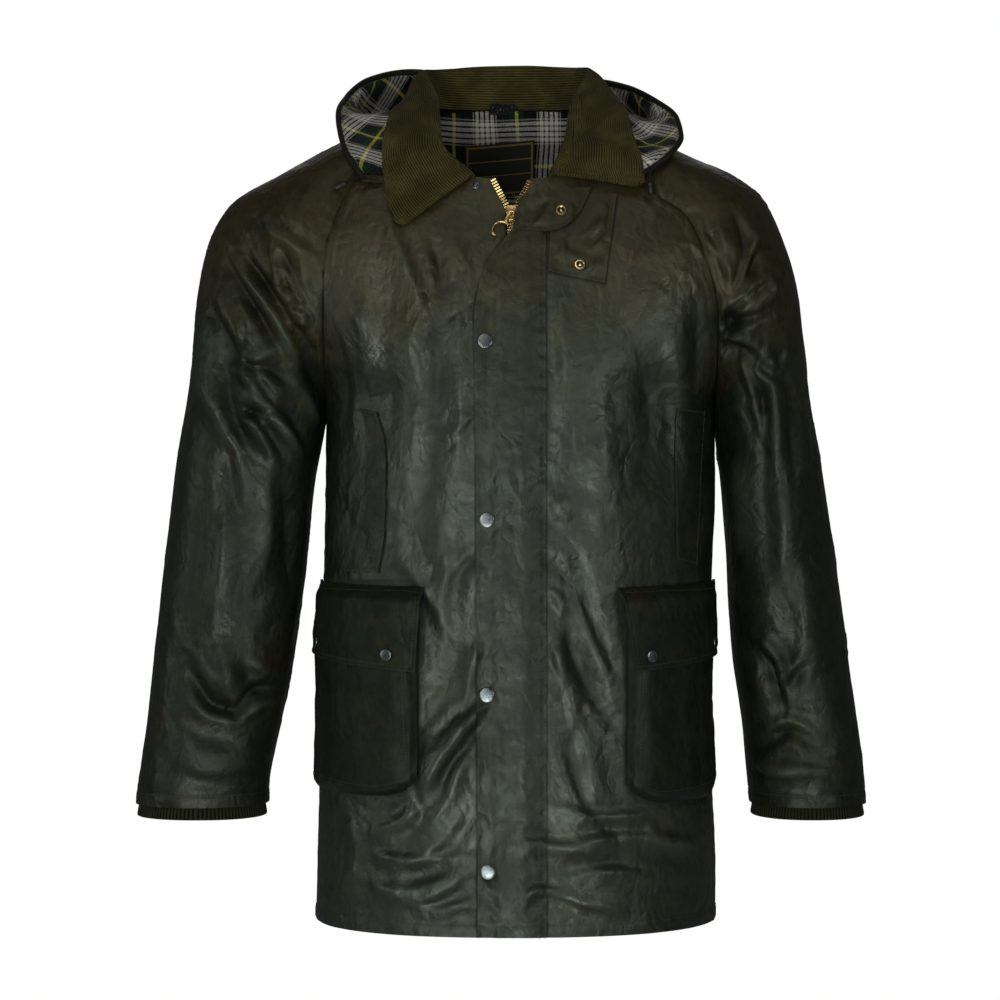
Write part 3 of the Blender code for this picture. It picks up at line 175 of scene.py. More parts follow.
BACK = Sections("v mid_y mid_z lead to_x to_y to_z reach", [
    [0.00, .0780, .0000, .045, .35, -.90, .00, .020],
    [0.20, .1080, -.0450, .070, .85, -.35, -.35, .040],
    [0.35, .1210, -.0900, .085, .88, -.40, -.15, .050],
    [0.50, .1300, -.1450, .095, .88, -.45, -.05, .055],
    [0.65, .1330, -.2100, .105, .75, -.65, .00, .060],
    [0.82, .1310, -.2680, .112, .40, -.90, .00, .070],
    [1.00, .1280, ARMPIT_Z, .115, .03, -1.0, .00, .080],
    [1.35, .1200, -.5020, .115, .00, -1.0, .00, .075],
    [1.70, .1260, -.6870, .120, .00, -1.0, .00, .080],
    [2.00, .1360, HEM_Z, .125, .00, -1.0, .00, .085],
])
SIDE = Sections("v right_x left_x", [
    [1.00, .1925, .2110],
    [1.15, .1930, .2112],
    [1.35, .1940, .2075],
    [1.50, .1965, .2055],
    [1.70, .1990, .2070],
    [1.90, .2015, .2115],
    [2.00, .2030, .2110],
])

# The largest folds, each through three points of the front view. All in millimetres: width is the
# half-width and rise the height, below zero for a trough. A crease starts hard from a pinch where
# grip is 1.
Fold = namedtuple("Fold", "x0 z0 x1 z1 x2 z2 width rise")
Crease = namedtuple("Crease", Fold._fields + ("grip",), defaults=(0,))


def rows_of(kind, *rows):
    return [kind(*row) for row in rows]


SLEEVE_FOLDS = {
    RIGHT: rows_of(Fold,
        (-300, -140, -246, -232, -214, -280, 20, -7), (-322, -220, -300, -262, -272, -290, 19, -6),
        (-277, -290, -245, -345, -206, -395, 21, 7), (-290, -345, -281, -395, -272, -440, 19, -6),
        (-325, -229, -315, -300, -305, -370, 20, 6), (-300, -560, -292, -590, -288, -610, 20, 5),
        (-331, -582, -300, -632, -249, -612, 21, -7)),
    LEFT: rows_of(Fold,
        (214, -246, 240, -232, 270, -212, 20, 6), (246, -262, 264, -276, 280, -300, 19, -6),
        (236, -290, 250, -330, 256, -380, 19, -6), (272, -309, 276, -370, 280, -440, 21, 6),
        (250, -564, 270, -600, 286, -630, 21, -6), (250, -664, 284, -640, 320, -652, 18, -5)),
}
FRONT_FOLDS = rows_of(Fold,
    (-36, -610, -60, -664, -92, -720, 25, 6), (-98, -200, -90, -300, -86, -410, 24, 5),
    (-128, -230, -122, -320, -118, -430, 22, -5), (-80, -500, -66, -560, -60, -600, 24, -4),
    (82, -300, 96, -420, 104, -500, 24, 5), (60, -460, 74, -580, 80, -680, 22, -5),
    (60, -700, 78, -760, 92, -820, 22, 5), (-126, -745, -118, -790, -110, -835, 22, 5))
BACK_FOLDS = rows_of(Fold,
    (-150, -300, -120, -380, -70, -440, 24, 6), (150, -310, 125, -390, 72, -450, 24, 6),
    (-100, -470, -92, -600, -104, -740, 24, 5), (98, -480, 88, -620, 100, -760, 24, 5),
    (-20, -520, -12, -640, -24, -760, 24, -5))
BEHIND_SHIFT = 0.03    # the sleeves' back folds are the front's, this much higher

# How much wider and higher than in its table a crease is made.
SLEEVE_WIDER = 1.3
SLEEVE_HIGHER = 1.8
SLEEVE_HIGHER_BEHIND = 1.2
BODY_HIGHER = 1.35
THROAT_HIGHER = 1.9
SLEEVE_CREASES = {
    RIGHT: rows_of(Crease,
        (-280, -171, -255, -207, -217, -266, 5, 4.5), (-289, -175, -263, -218, -226, -273, 5, -4.5),
        (-272, -166, -247, -199, -192, -274, 5, -4), (-247, -152, -238, -179, -234, -205, 4, 3),
        (-239, -159, -225, -190, -210, -220, 3.5, 3), (-236, -169, -228, -195, -221, -218, 4.5, -3.5),
        (-226, -227, -216, -226, -205, -227, 4, 2), (-225, -236, -215, -236, -204, -236, 4, 2),
        (-275, -276, -253, -270, -229, -258, 7, 4, 1), (-274, -276, -247, -282, -219, -299, 6, -5, 1),
        (-275, -278, -259, -299, -243, -322, 4, 4.5, 1), (-253, -284, -243, -299, -237, -315, 6, 3),
        (-270, -328, -251, -348, -231, -376, 4.5, 4.5, 1), (-268, -327, -255, -327, -243, -321, 5, -4, 1),
        (-243, -321, -229, -345, -218, -371, 5, 4), (-261, -331, -243, -353, -231, -376, 5, -3),
        (-316, -218, -303, -301, -279, -363, 6, 4.5), (-310, -225, -299, -262, -293, -297, 5, 3),
        (-306, -220, -290, -250, -277, -278, 6, -4), (-296, -264, -285, -309, -269, -361, 7, -4),
        (-251, -122, -239, -145, -192, -175, 6, 3.5), (-265, -118, -251, -147, -239, -167, 7, -3),
        (-294, -143, -275, -173, -253, -211, 6, 2.5), (-213, -264, -198, -295, -192, -317, 6, -4),
        (-225, -284, -208, -315, -196, -343, 6, 3), (-279, -361, -275, -392, -272, -422, 5, 3),
        (-253, -384, -247, -434, -253, -495, 9, 3), (-289, -414, -294, -475, -302, -536, 10, 3),
        (-231, -414, -227, -455, -229, -505, 8, -2.5), (-328, -584, -310, -619, -279, -629, 5, -4.5),
        (-279, -629, -263, -610, -243, -604, 5, -4.5), (-294, -580, -287, -604, -279, -625, 6, 4.5),
        (-326, -606, -308, -633, -275, -639, 6, 3), (-275, -639, -259, -625, -239, -617, 5, 2.5),
        (-320, -556, -312, -580, -296, -604, 6, 3), (-267, -566, -259, -584, -247, -592, 6, 3),
        (-346, -637, -320, -665, -275, -675, 8, 2), (-344, -677, -306, -689, -257, -681, 7, 2)),
    LEFT: rows_of(Crease,
        (184, -147, 202, -163, 219, -186, 4, 3), (245, -145, 237, -175, 228, -199, 4, 3.5),
        (253, -151, 243, -179, 235, -201, 5, -3), (220, -218, 238, -201, 257, -188, 4, 4),
        (225, -230, 243, -209, 255, -201, 8, 3.5), (218, -226, 239, -224, 255, -218, 4.5, 3.5),
        (257, -188, 261, -203, 255, -218, 4, 3), (215, -242, 243, -226, 282, -209, 6, -5.5, 1),
        (214, -243, 236, -253, 250, -263, 4.5, 5, 1), (250, -263, 259, -274, 270, -283, 4.5, 4),
        (216, -252, 236, -264, 247, -278, 6, -5.5, 1), (251, -268, 247, -282, 255, -297, 5, 3),
        (229, -211, 219, -230, 214, -242, 5, -4), (230, -268, 242, -305, 254, -353, 5, 4),
        (238, -274, 253, -313, 261, -353, 6, -3), (263, -284, 265, -333, 268, -384, 6, 4),
        (278, -292, 282, -353, 286, -414, 8, -2.5), (270, -384, 274, -434, 276, -495, 8, 3),
        (292, -252, 298, -292, 304, -343, 6, 2.5), (207, -143, 215, -173, 221, -203, 5, 2.5),
        (223, -124, 233, -149, 241, -173, 5, -2.5), (226, -363, 233, -414, 235, -475, 8, 3),
        (248, -563, 261, -584, 274, -625, 5, -4), (268, -601, 280, -590, 293, -574, 5, 4),
        (255, -556, 270, -576, 278, -606, 6, 3.5), (248, -670, 280, -650, 312, -666, 6, -4),
        (249, -659, 280, -639, 314, -655, 6, 3), (246, -682, 265, -689, 287, -695, 5, 3),
        (247, -704, 282, -687, 332, -694, 6, 2), (292, -475, 296, -536, 304, -596, 9, 2.5)),
}
FRONT_CREASES = rows_of(Crease,
    (-45, -630, -83, -692, -117, -745, 9, 4, 1), (-50, -676, -72, -723, -107, -763, 8, 3),
    (-150, -764, -95, -770, -38, -764, 5, 2), (-150, -790, -91, -810, -36, -775, 7, 2.5),
    (-119, -814, -71, -818, -36, -806, 5, 2), (-92, -640, -96, -690, -88, -738, 6, -2.5),
    (-34, -560, -44, -590, -70, -640, 6, 2.5, 1), (40, -414, 67, -462, 99, -517, 12, 1.5, 1),
    (40, -473, 63, -501, 99, -572, 8, -2.5, 1), (41, -560, 55, -600, 62, -650, 6, 2.5, 1),
    (40, -716, 95, -728, 186, -720, 6, 2), (52, -650, 66, -700, 98, -748, 7, -2.5),
    (-40, -330, -60, -350, -92, -352, 5, 1.8, 1), (-38, -470, -60, -500, -66, -540, 6, -2, 1),
    (-28, -616, -54, -654, -81, -695, 6, 4.5, 1), (-36, -612, -62, -634, -87, -660, 6, -3, 1),
    (-36, -638, -60, -672, -71, -711, 7, -3), (-38, -586, -50, -624, -60, -646, 6, 2.5),
    (-103, -246, -107, -355, -119, -473, 16, 4), (-77, -216, -75, -315, -87, -434, 12, -2.5),
    (-127, -129, -107, -178, -79, -246, 9, 2.5), (-81, -152, -71, -186, -66, -228, 7, -2),
    (-56, -216, -50, -295, -54, -374, 8, 2), (-159, -216, -149, -246, -145, -295, 10, 3.5),
    (-177, -246, -169, -295, -173, -355, 8, -3), (-111, -473, -81, -513, -60, -553, 9, 2.5),
    (-71, -434, -66, -503, -71, -573, 9, 2), (-81, -711, -109, -733, -145, -749, 8, 2.5),
    (-42, -711, -71, -753, -111, -779, 8, 2.5), (-42, -771, -81, -795, -141, -802, 7, 2),
    (-161, -731, -155, -771, -159, -810, 9, 2.5), (47, -216, 53, -295, 47, -384, 9, 2),
    (77, -246, 89, -335, 85, -434, 21, 1.75), (117, -236, 137, -315, 137, -394, 14, -3),
    (47, -454, 71, -533, 99, -602, 8, 3), (40, -513, 73, -592, 117, -664, 8, -2.5),
    (43, -473, 49, -533, 47, -602, 7, 2), (61, -612, 77, -672, 83, -731, 8, 2.5),
    (47, -757, 107, -747, 176, -761, 7, 2.5), (43, -781, 97, -773, 147, -783, 6, -2),
    (127, -731, 151, -751, 186, -763, 7, 2), (38, -414, 65, -422, 91, -420, 7.5, 1, 1),
    (38, -435, 61, -440, 85, -434, 7.5, -1, 1), (38, -384, 59, -376, 79, -364, 7.5, 0.9, 1),
    (38, -503, 53, -517, 75, -525, 5, 1.8, 1), (-19, -814, -4, -821, 8, -810, 6, -2.5),
    (8, -808, 24, -797, 45, -802, 5, 3), (45, -802, 71, -812, 107, -822, 6, 2.5),
    (-15, -763, 8, -751, 73, -761, 6, 2.5), (-26, -783, -12, -795, 8, -800, 5, -2.5, 1),
    (-14, -602, 4, -606, 28, -612, 5, 2, 1), (156, -246, 170, -335, 176, -434, 10, 2.5),
    (186, -216, 188, -265, 184, -315, 8, -2.5))
BACK_CREASES = rows_of(Crease,
    (-186, -300, -150, -352, -96, -384, 9, 4, 1), (-180, -330, -140, -396, -84, -430, 8, -3, 1),
    (184, -306, 146, -360, 92, -390, 9, 4, 1), (178, -336, 136, -402, 80, -436, 8, -3, 1),
    (-120, -140, -104, -220, -92, -300, 11, 3), (116, -146, 102, -224, 94, -306, 11, 3),
    (-60, -260, -54, -340, -60, -420, 12, 2.5), (48, -280, 56, -360, 50, -440, 12, 2.5),
    (-40, -470, -52, -560, -44, -650, 11, 3), (30, -480, 38, -580, 28, -680, 11, -2.5),
    (-130, -560, -124, -640, -132, -720, 10, 3), (128, -540, 120, -640, 130, -740, 10, 3),
    (-90, -700, -40, -716, 20, -706, 7, 2), (-30, -790, 30, -776, 96, -788, 7, 2.5),
    (-120, -800, -86, -790, -50, -806, 6, -2), (0, -170, 4, -220, -2, -280, 10, 2))
TAB_CREASES = rows_of(Crease,
    (96, -128, 86, -142, 74, -150, 4, 1.6), (98, -146, 88, -158, 76, -166, 4, 1.4),
    (48, -160, 62, -172, 78, -178, 5, 1.5), (60, -150, 56, -164, 58, -180, 4, -1.0),
    (84, -176, 78, -184, 68, -190, 4, 1.2))
TURNBACK_CREASES = rows_of(Crease,
    (20, -142, 34, -128, 42, -116, 5, 1.4), (12, -130, 26, -120, 36, -112, 4, -1.0),
    (56, -116, 60, -126, 56, -138, 4, 1.0))


# ---- the smaller pieces, on the solids' measures but for the slider, its pull and the collar's stud ----
SNAP_R = 0.0075
SNAP_HIGH = 0.0024
# s runs round the neck from the right front end to the left one. Each station gives the neck
# seam, the roll line where the collar turns over, and its free edge.
COLLAR = Sections("s seam_x seam_y seam_z roll_x roll_y roll_z edge_x edge_y edge_z", [
    [0.0, -.0360, -.1010, -.0890, -.0375, -.1060, -.0855, -.1130, -.1270, -.1430],
    [1.0, -.0550, -.0960, -.0800, -.0540, -.0940, -.0700, -.1232, -.1140, -.1185],
    [2.0, -.0700, -.0830, -.0650, -.0690, -.0780, -.0510, -.1312, -.0900, -.0707],
    [3.0, -.0850, -.0480, -.0290, -.0740, -.0350, -.0190, -.1290, -.0760, -.0400],
    [4.0, -.0870, -.0100, -.0030, -.0760, .0000, .0060, -.1220, -.0300, -.0080],
    [5.0, -.0830, .0300, .0010, -.0890, .0400, .0400, -.1180, .0350, -.0020],
    [6.0, -.0600, .0620, .0020, -.0660, .0660, .0460, -.0900, .1000, -.0080],
    [7.0, .0000, .0780, .0030, .0000, .0780, .0515, .0000, .1080, -.0110],
    [8.0, .0600, .0620, .0020, .0600, .0660, .0475, .0900, .1000, -.0080],
    [9.0, .0830, .0300, .0010, .0790, .0420, .0430, .1160, .0350, -.0020],
    [10.0, .0870, -.0100, -.0030, .0650, .0000, .0080, .1170, -.0300, -.0060],
    [11.0, .0850, -.0480, -.0290, .0570, -.0350, -.0230, .1230, -.0760, -.0420],
    [12.0, .0700, -.0830, -.0650, .0510, -.0800, -.0535, .1323, -.0920, -.0735],
    [13.0, .0550, -.0960, -.0800, .0430, -.0950, -.0715, .1340, -.1010, -.0920],
    [14.0, .0360, -.1010, -.0890, .0362, -.1050, -.0840, .1290, -.1050, -.0985],
])
COLLAR_WALL = .0026
COLLAR_ROLL = .0036     # half the thickness of the turned-over fold
COLLAR_PLACES = np.array([0, .22, .38, .46, .55, .68, 1])     # where the section's knots lie on t
# s runs round the opening from the right front end to the left one: the rim, the line where the
# cloth meets the shoulders, how deep the pouch hangs between them, and how far each layer bulges.
HOOD = Sections("s rim_x rim_y rim_z neck_x neck_y neck_z deep out near", [
    [0, -.1500, -.0985, -.0925, -.1180, -.0940, -.0935, .002, .000, .000],
    [1, -.1720, -.0620, -.0540, -.1180, -.0640, -.0500, .004, .002, .000],
    [2, -.1804, -.0100, -.0120, -.1190, -.0240, -.0190, .006, .004, .000],
    [3, -.1760, .0450, .0120, -.1290, .0250, -.0120, .010, .006, .004],
    [4, -.1550, .0900, .0395, -.1180, .0800, -.0220, .090, .024, .028],
    [5, -.1000, .1320, .0555, -.0750, .1150, -.0300, .200, .034, .031],
    [6, .0000, .1580, .0470, .0000, .1240, -.0320, .250, .036, .029],
    [7, .0850, .1320, .0450, .0750, .1150, -.0300, .200, .034, .031],
    [8, .1250, .0900, .0320, .1120, .0830, -.0220, .090, .024, .028],
    [9, .1550, .0450, .0080, .1240, .0280, -.0140, .014, .006, .008],
    [10, .1724, .0000, -.0180, .1170, -.0230, -.0200, .008, .004, .002],
    [11, .1745, -.0350, -.0420, .1170, -.0560, -.0400, .006, .003, .000],
    [12, .1570, -.0790, -.0690, .1180, -.0710, -.0620, .004, .002, .000],
    [13, .1320, -.0945, -.0880, .1160, -.0880, -.0870, .002, .000, .000],
])
HOOD_WALL = .0018
HOOD_LINING = .0010
HOOD_LINING_GAP = .0014
HOOD_PLACES = np.array([0, .3, .5, .72, 1])     # where the section's knots lie on t
CUFF_WALL = .0018
CUFF_TOP = 1.955       # v on the sleeve where the knit starts inside it
CUFF_BELOW = .0125     # how far it reaches below the sleeve
CUFF_INSET = .0034     # how far inside the sleeve it stands, and by how much less at its end
CUFF_FLARE = .0022
CUFF_HIDDEN = .4       # share of its rows inside the sleeve
INSIDE_GAP = .0008
LABEL_WALL = .0008
LABEL = dict(left=-.0495, right=.0250, top=-.030, bottom=-.084, slope=.0875)
LOOP = dict(left=-.0225, right=.0065, tops=(.0085, -.0030), y=.0745, curve=8, wall=.0010)
CHAIN_HALF = .0026     # each half of the closed chain
CHAIN_DEEP = .0036
CHAIN_OPEN = .0024     # how far the teeth stand in from the centre where the zip is open
TAPE_WIDE = .010
TAPE_WALL = .0012
SLIDER = (.006512, .015625, .0018)     # half its plate's width, its length and thickness
SLIDER_OUT = .0016
SLIDER_X = -.0008
LUG_APART = .0024
BAR_R = .00085
BAR_LONG = .0056
HINGE_OUT = .0036      # from the slider's middle to the pull's hinge
PULL_LINK = (.00442, .01275, .0013)
PULL_RING = .00875
PULL_EYE = .0018
PULL_WIRE = .0006
GRIP_WIRE = .0010
CHEST_SLOPE = (-.95, .33)     # y and z of the way out of the chest at the slider
PULL_WAY = (-.46, -.31, -.88)
# The solid flap's free edge (x) and its sewn edge, down the front, from which its caps stand off.
FLAP = Sections("down free_x sewn_x", [
    [.1530, .0060, .0335],
    [.1640, -.0060, .0335],
    [.1800, -.0190, .0335],
    [.2000, -.0290, .0335],
    [.2360, -.0372, .0335],
    [.3000, -.0362, .0335],
    [.5000, -.0345, .0335],
    [.8000, -.0335, .0335],
    [.8420, -.0335, .0335],
])
# The cloth flap's own edges, from its top: as on the solid but for the corner under the slider.
FLAP_HIGH = .1445
FLAP_EDGE = Sections("down free_x sewn_x", [
    [.1445, .0010, .0335],
    [.1530, -.0060, .0335],
    [.1640, -.0150, .0335],
    [.1800, -.0250, .0335],
    [.2000, -.0325, .0335],
    [.2360, -.0375, .0335],
    [.3000, -.0362, .0335],
    [.5000, -.0345, .0335],
    [.8000, -.0335, .0335],
    [.8420, -.0335, .0335],
])
FLAP_STITCHES = (.0015, .0075)
FREE_STITCH = .0035
EDGE_STITCH = .0045
# The lower edge of the turned-back corner, from the zip to its rounded end, as x and z.
TURNBACK_LOW = [(.0008, -.1450), (.0200, -.1480), (.0400, -.1478), (.0545, -.1425), (.0670, -.1300),
                (.0765, -.1100)]
TURNBACK_TOP = [(.0080, -.1130), (.0300, -.1090), (.0520, -.1060), (.0780, -.1030)]
FLAP_WALL = .0022
FLAP_CROWN = .0024     # how far the flap bows over the zip
TURNBACK_LIFT = .0068
TURNBACK_CROWN = .0020
TURNBACK_WALL = .0020
TAB = [(.0400, -.1060), (.1050, -.1080), (.0920, -.1990), (.0365, -.1870)]
TAB_WALL = .0022
TAB_CROWN = .0012
# The two long edges of each welt, as x and z from the top.
WELT_LINES = {
    RIGHT: [[(-.1547, -.3222), (-.1487, -.3342), (-.1467, -.3841), (-.1547, -.4439), (-.1670, -.4862)],
            [(-.1367, -.3262), (-.1268, -.3641), (-.1258, -.4439), (-.1330, -.4868)]],
    LEFT: [[(.1627, -.3222), (.1632, -.4000), (.1646, -.4739)],
           [(.1936, -.3242), (.1900, -.4000), (.1856, -.4789)]],
}
WELT_WALL = .0014
# Heights are z; "near" is the edge towards the centre front, as x, and "far" is the column of the
# front panel where the bag ends at the side.
POCKET = {
    RIGHT: dict(near=.0925, far=.955, top=-.515, bottom=-.708, flap_near=.0862, flap_low_near=.0905,
                flap_top=-.4955, flap_low=-.5765, taper=.70, far_corner=0,
                snaps=[(.1165, -.5675), (.1880, -.5590)]),
    LEFT: dict(near=.1130, far=.955, top=-.515, bottom=-.716, flap_near=.1035, flap_low_near=.1150,
               flap_top=-.4955, flap_low=-.5765, taper=.92, far_corner=.026,
               snaps=[(.1300, -.5690), (.1970, -.5590)]),
}
POCKET_DEEP = .014
POCKET_WALL = .0018
GUSSET = .1            # share of the width over which the bag rises to its depth
POCKET_END = .20       # x where bag and flap are taken to end at the side
FLAP_DEEP = .0022
FLAP_CLEAR = .0010     # between the bag and the flap over it
FLAP_FAR = .985        # column of the front panel where the flap ends
FLAP_TILT = .015       # how much lower the flap's near corner hangs
# down the bag and the share of its depth there; the same down the flap
BAG_ROWS = [(0, 1), (.2, 1), (.4, 1), (.6, 1), (.78, 1), (.9, .98), (.965, .8), (1, 0)]
FLAP_ROWS = [(0, 0), (.06, .45), (.2, 1), (.6, 1), (1, 1)]
BAG_CORNER = .024      # how far the bottom corner is rounded in
SNAP_SEAT = .0004      # clearance under a cap
POCKET_SNAP_R = .0060
SOCKET_R = .0054
STUD_R = .0040
# x and z of the caps down the storm flap
FRONT_SNAPS = [(-.0268, -.2570), (-.0248, -.4337), (-.0248, -.6065), (-.0238, -.7806)]
TURNBACK_SOCKET = (.0489, -.1285)
TAB_SOCKET = (.0676, -.1813)
COLLAR_STUD = (-.0361, -.0985)
CORD_R = .0012
CORDS = {
    "right": [(-.1400, -.0975, -.0802), (-.1450, -.0984, -.0840), (-.1500, -.0988, -.0870),
              (-.1550, -.0990, -.0896), (-.1608, -.0991, -.0924), (-.1668, -.0992, -.0952)],
    "left": [(.1522, -.0890, -.0752), (.1490, -.0945, -.0785), (.1455, -.0985, -.0803),
             (.1415, -.1010, -.0812), (.1388, -.1015, -.0850), (.1384, -.1010, -.0895),
             (.1388, -.1005, -.0940)],
}
TOGGLE_LONG = .012
TOGGLE_R = .0030
TOGGLE_GAP = .0003
CORD_STEPS = 12


# ---- shapes ----
def bend(value, power=RING_POWER):
    return np.copysign(np.abs(value) ** (2 / power), value)


def sleeve_point(side, turn, v):
    """turn runs 0 to 1: front seam or underarm, over the shoulder line, to the back seam."""
    s = SLEEVE[side]
    middle = s.at("mid_y", v)
    inner = stack(side * s.at("in_x", v), middle, s.at("in_z", v))
    outer = stack(side * s.at("out_x", v), middle, s.at("out_z", v))
    arc = np.radians(s.at("arc", v))
    angle = arc * (2 * turn - 1)
    out = (outer - inner) / (1 - bend(np.cos(arc)))[..., None]
    deep = stack(0 * middle, s.at("half", v), s.at("drop", v))
    return outer - out + out * bend(np.cos(angle))[..., None] + deep * bend(np.sin(angle))[..., None]


def bezier(p0, p1, p2, p3, t):
    s = 1 - t
    return s ** 3 * p0 + 3 * s * s * t * p1 + 3 * s * t * t * p2 + t ** 3 * p3


def seam_point(side, v, back=False):
    """Where the body panels end: the raglan seam down to the armpit, then the side seam."""
    x = side * SIDE.at("right_x" if side == RIGHT else "left_x", v)
    low = stack(x, 0 * v, ARMPIT_Z + (v - 1) * (HEM_Z - ARMPIT_Z))
    return np.where((v < 1)[..., None], sleeve_point(side, 1 if back else 0, v), low)


def row_point(start, end, side, table, v, t):
    heading = unit(table.point("to_x to_y to_z", v)) * np.array([side, 1, 1])
    first = start + stack(side * table.at("lead", v), 0, 0)
    last = end - heading * table.at("reach", v)[..., None]
    return bezier(start, first, last, end, np.asarray(t)[..., None])


def front_point(side, u, v):
    """u runs 0 at the centre-front edge to 1 at the seam."""
    start = FRONT.point("edge_x edge_y edge_z", v) * np.array([side, 1, 1])
    return row_point(start, seam_point(side, v), side, FRONT, v, u)


def back_half(side, u, v):
    """u runs 0 at the centre back to 1 at that side's seam."""
    start = stack(0, BACK.at("mid_y", v), BACK.at("mid_z", v))
    return row_point(start, seam_point(side, v, back=True), side, BACK, v, u)


def row_places(low_rows):
    """v of the fine rows: from the neck to the armpit, then on to the hem."""
    return np.concatenate([np.linspace(0, 1, UPPER_ROWS + 1), np.linspace(1, 2, low_rows + 1)[1:]])


def catmull(points, count):
    """Evenly read points of a smooth curve through the given ones."""
    pts = [np.array(p, float) for p in points]
    pts = [2 * pts[0] - pts[1]] + pts + [2 * pts[-1] - pts[-2]]
    spans = len(pts) - 3
    result = []
    for k in range(count + 1):
        place = min(k / count * spans, spans - 1e-9)
        i, t = int(place), place - int(place)
        a, b, c, d = pts[i:i + 4]
        result.append(.5 * (2 * b + (c - a) * t + (2 * a - 5 * b + 4 * c - d) * t * t
                            + (3 * b - a - 3 * c + d) * t ** 3))
    return np.array(result)


# ---- creases and crumple ----
def near_path(x, z, path):
    """How far each place is from a path, on which side, and its share of the way along."""
    away = np.full(x.shape, np.inf)
    along, side = np.zeros(x.shape), np.ones(x.shape)
    last = len(path) - 1
    for k in range(last):
        (ax, az), (bx, bz) = path[k], path[k + 1]
        run_x, run_z = bx - ax, bz - az
        s = np.clip(((x - ax) * run_x + (z - az) * run_z) / (run_x ** 2 + run_z ** 2), 0, 1)
        dx, dz = x - ax - s * run_x, z - az - s * run_z
        here = np.hypot(dx, dz)
        closer = here < away
        away = np.where(closer, here, away)
        along = np.where(closer, (k + s) / last, along)
        side = np.where(closer, np.sign(run_x * dz - run_z * dx), side)
    return away, along, side


def crease_height(creases, points, wide=1.0):
    """Metres that the creases add at points, from their places in the front view."""
    x, z = points[..., 0] * 1000, points[..., 2] * 1000
    total = np.zeros(x.shape)
    for n, c in enumerate(creases):
        path = catmull([(c.x0, c.z0), (c.x1, c.z1), (c.x2, c.z2)], 8)
        reach = 4 * c.width * wide
        low, high = path.min(axis=0) - reach, path.max(axis=0) + reach
        near = (x > low[0]) & (x < high[0]) & (z > low[1]) & (z < high[1])
        if not near.any():
            continue
        away, along, side = near_path(x[near], z[near], path)
        lean = .3 if n % 2 else -.3
        width = c.width * wide * (1 + lean * side)
        uneven = 1 + .3 * np.sin(along * 7 + n) * np.sin(along * 3.1 + 2 * n)
        if c.grip:
            swell = np.minimum(1, along / .08 + .35) * (1 - along) ** .7 * 1.15
        else:
            swell = np.sin(np.pi * (along * .92 + .04)) ** .7
        shape = np.exp(-(away / width) ** 1.5) - .32 * np.exp(-((away - 2.1 * width) / (1.1 * width)) ** 2)
        total[near] += c.rise * swell * uneven * shape
    return total / 1000


def fold_height(folds, points):
    """Metres that the largest folds add, just as on the solids."""
    x, z = points[..., 0] * 1000, points[..., 2] * 1000
    total = np.zeros(x.shape)
    for f in folds:
        away, along, _ = near_path(x, z, [(f.x0, f.z0), (f.x1, f.z1), (f.x2, f.z2)])
        total += f.rise * np.exp(-(away / f.width) ** 2) * (.35 + .65 * np.sin(np.pi * along))
    return total / 1000


def waves(points, size, seed=0.0):
    """Smooth noise from -1 to 1, its waves about size long; size may differ along each axis."""
    places = (points / np.asarray(size)).reshape(-1, 3) + seed
    return np.array([noise.noise(Vector(p)) for p in places]).reshape(points.shape[:-1])


def crinkle(points, size, seed=0.0, sharp=7):
    """Thin ridges that wander and branch, 0 to 1."""
    return np.clip(1 - np.abs(waves(points, size, seed)) * 1.6, 0, 1) ** sharp


# ---- meshes ----
def grid_faces(ids):
    return np.stack([ids[:-1, :-1], ids[:-1, 1:], ids[1:, 1:], ids[1:, :-1]], axis=-1).reshape(-1, 4)


def grid_normals(points, flip=False, closed_from=None):
    across = np.gradient(points, axis=1)
    if closed_from is not None:
        wrapped = (points[closed_from:, 1] - points[closed_from:, -2]) / 2
        across[closed_from:, 0] = wrapped
        across[closed_from:, -1] = wrapped
    normals = unit(np.cross(across, np.gradient(points, axis=0)))
    return -normals if flip else normals


def add_object(name, data):
    """A new object in the scene, at the origin."""
    item = bpy.data.objects.new(name, data)
    bpy.context.scene.collection.objects.link(item)
    return item


def make(name, points, faces, material, uv=None, tone=None):
    """A shaded mesh at the origin; uv and tone are given for each point."""
    mesh = bpy.data.meshes.new(name)
    mesh.from_pydata([tuple(p) for p in points], [], [tuple(f) for f in faces])
    mesh.materials.append(material)
    if uv is not None:
        corners = np.zeros(len(mesh.loops), int)
        mesh.loops.foreach_get("vertex_index", corners)
        layer = mesh.uv_layers.new(name="UVMap")
        layer.data.foreach_set("uv", np.asarray(uv)[corners].ravel())
    if tone is not None:
        mesh.attributes.new("tone", "FLOAT", "POINT").data.foreach_set("value", np.asarray(tone).ravel())
    mesh.shade_smooth()
    mesh.set_sharp_from_angle(angle=math.radians(CLOTH_SHARP))
    return add_object(name, mesh)


def lengths(points, axis):
    """Running length along a grid's rows or columns, from 0."""
    steps = np.linalg.norm(np.diff(points, axis=axis), axis=-1)
    total = np.cumsum(steps, axis=axis)
    return np.concatenate([np.zeros_like(np.take(total, [0], axis=axis)), total], axis=axis)


def lowest_near(values, reach):
    """The least value within reach grid steps of each place."""
    for axis in (0, 1):
        padded = np.pad(values, [(reach, reach) if a == axis else (0, 0) for a in (0, 1)], mode="edge")
        size = values.shape[axis]
        shifted = [np.take(padded, range(k, k + size), axis=axis) for k in range(2 * reach + 1)]
        values = np.min(shifted, axis=0)
    return values


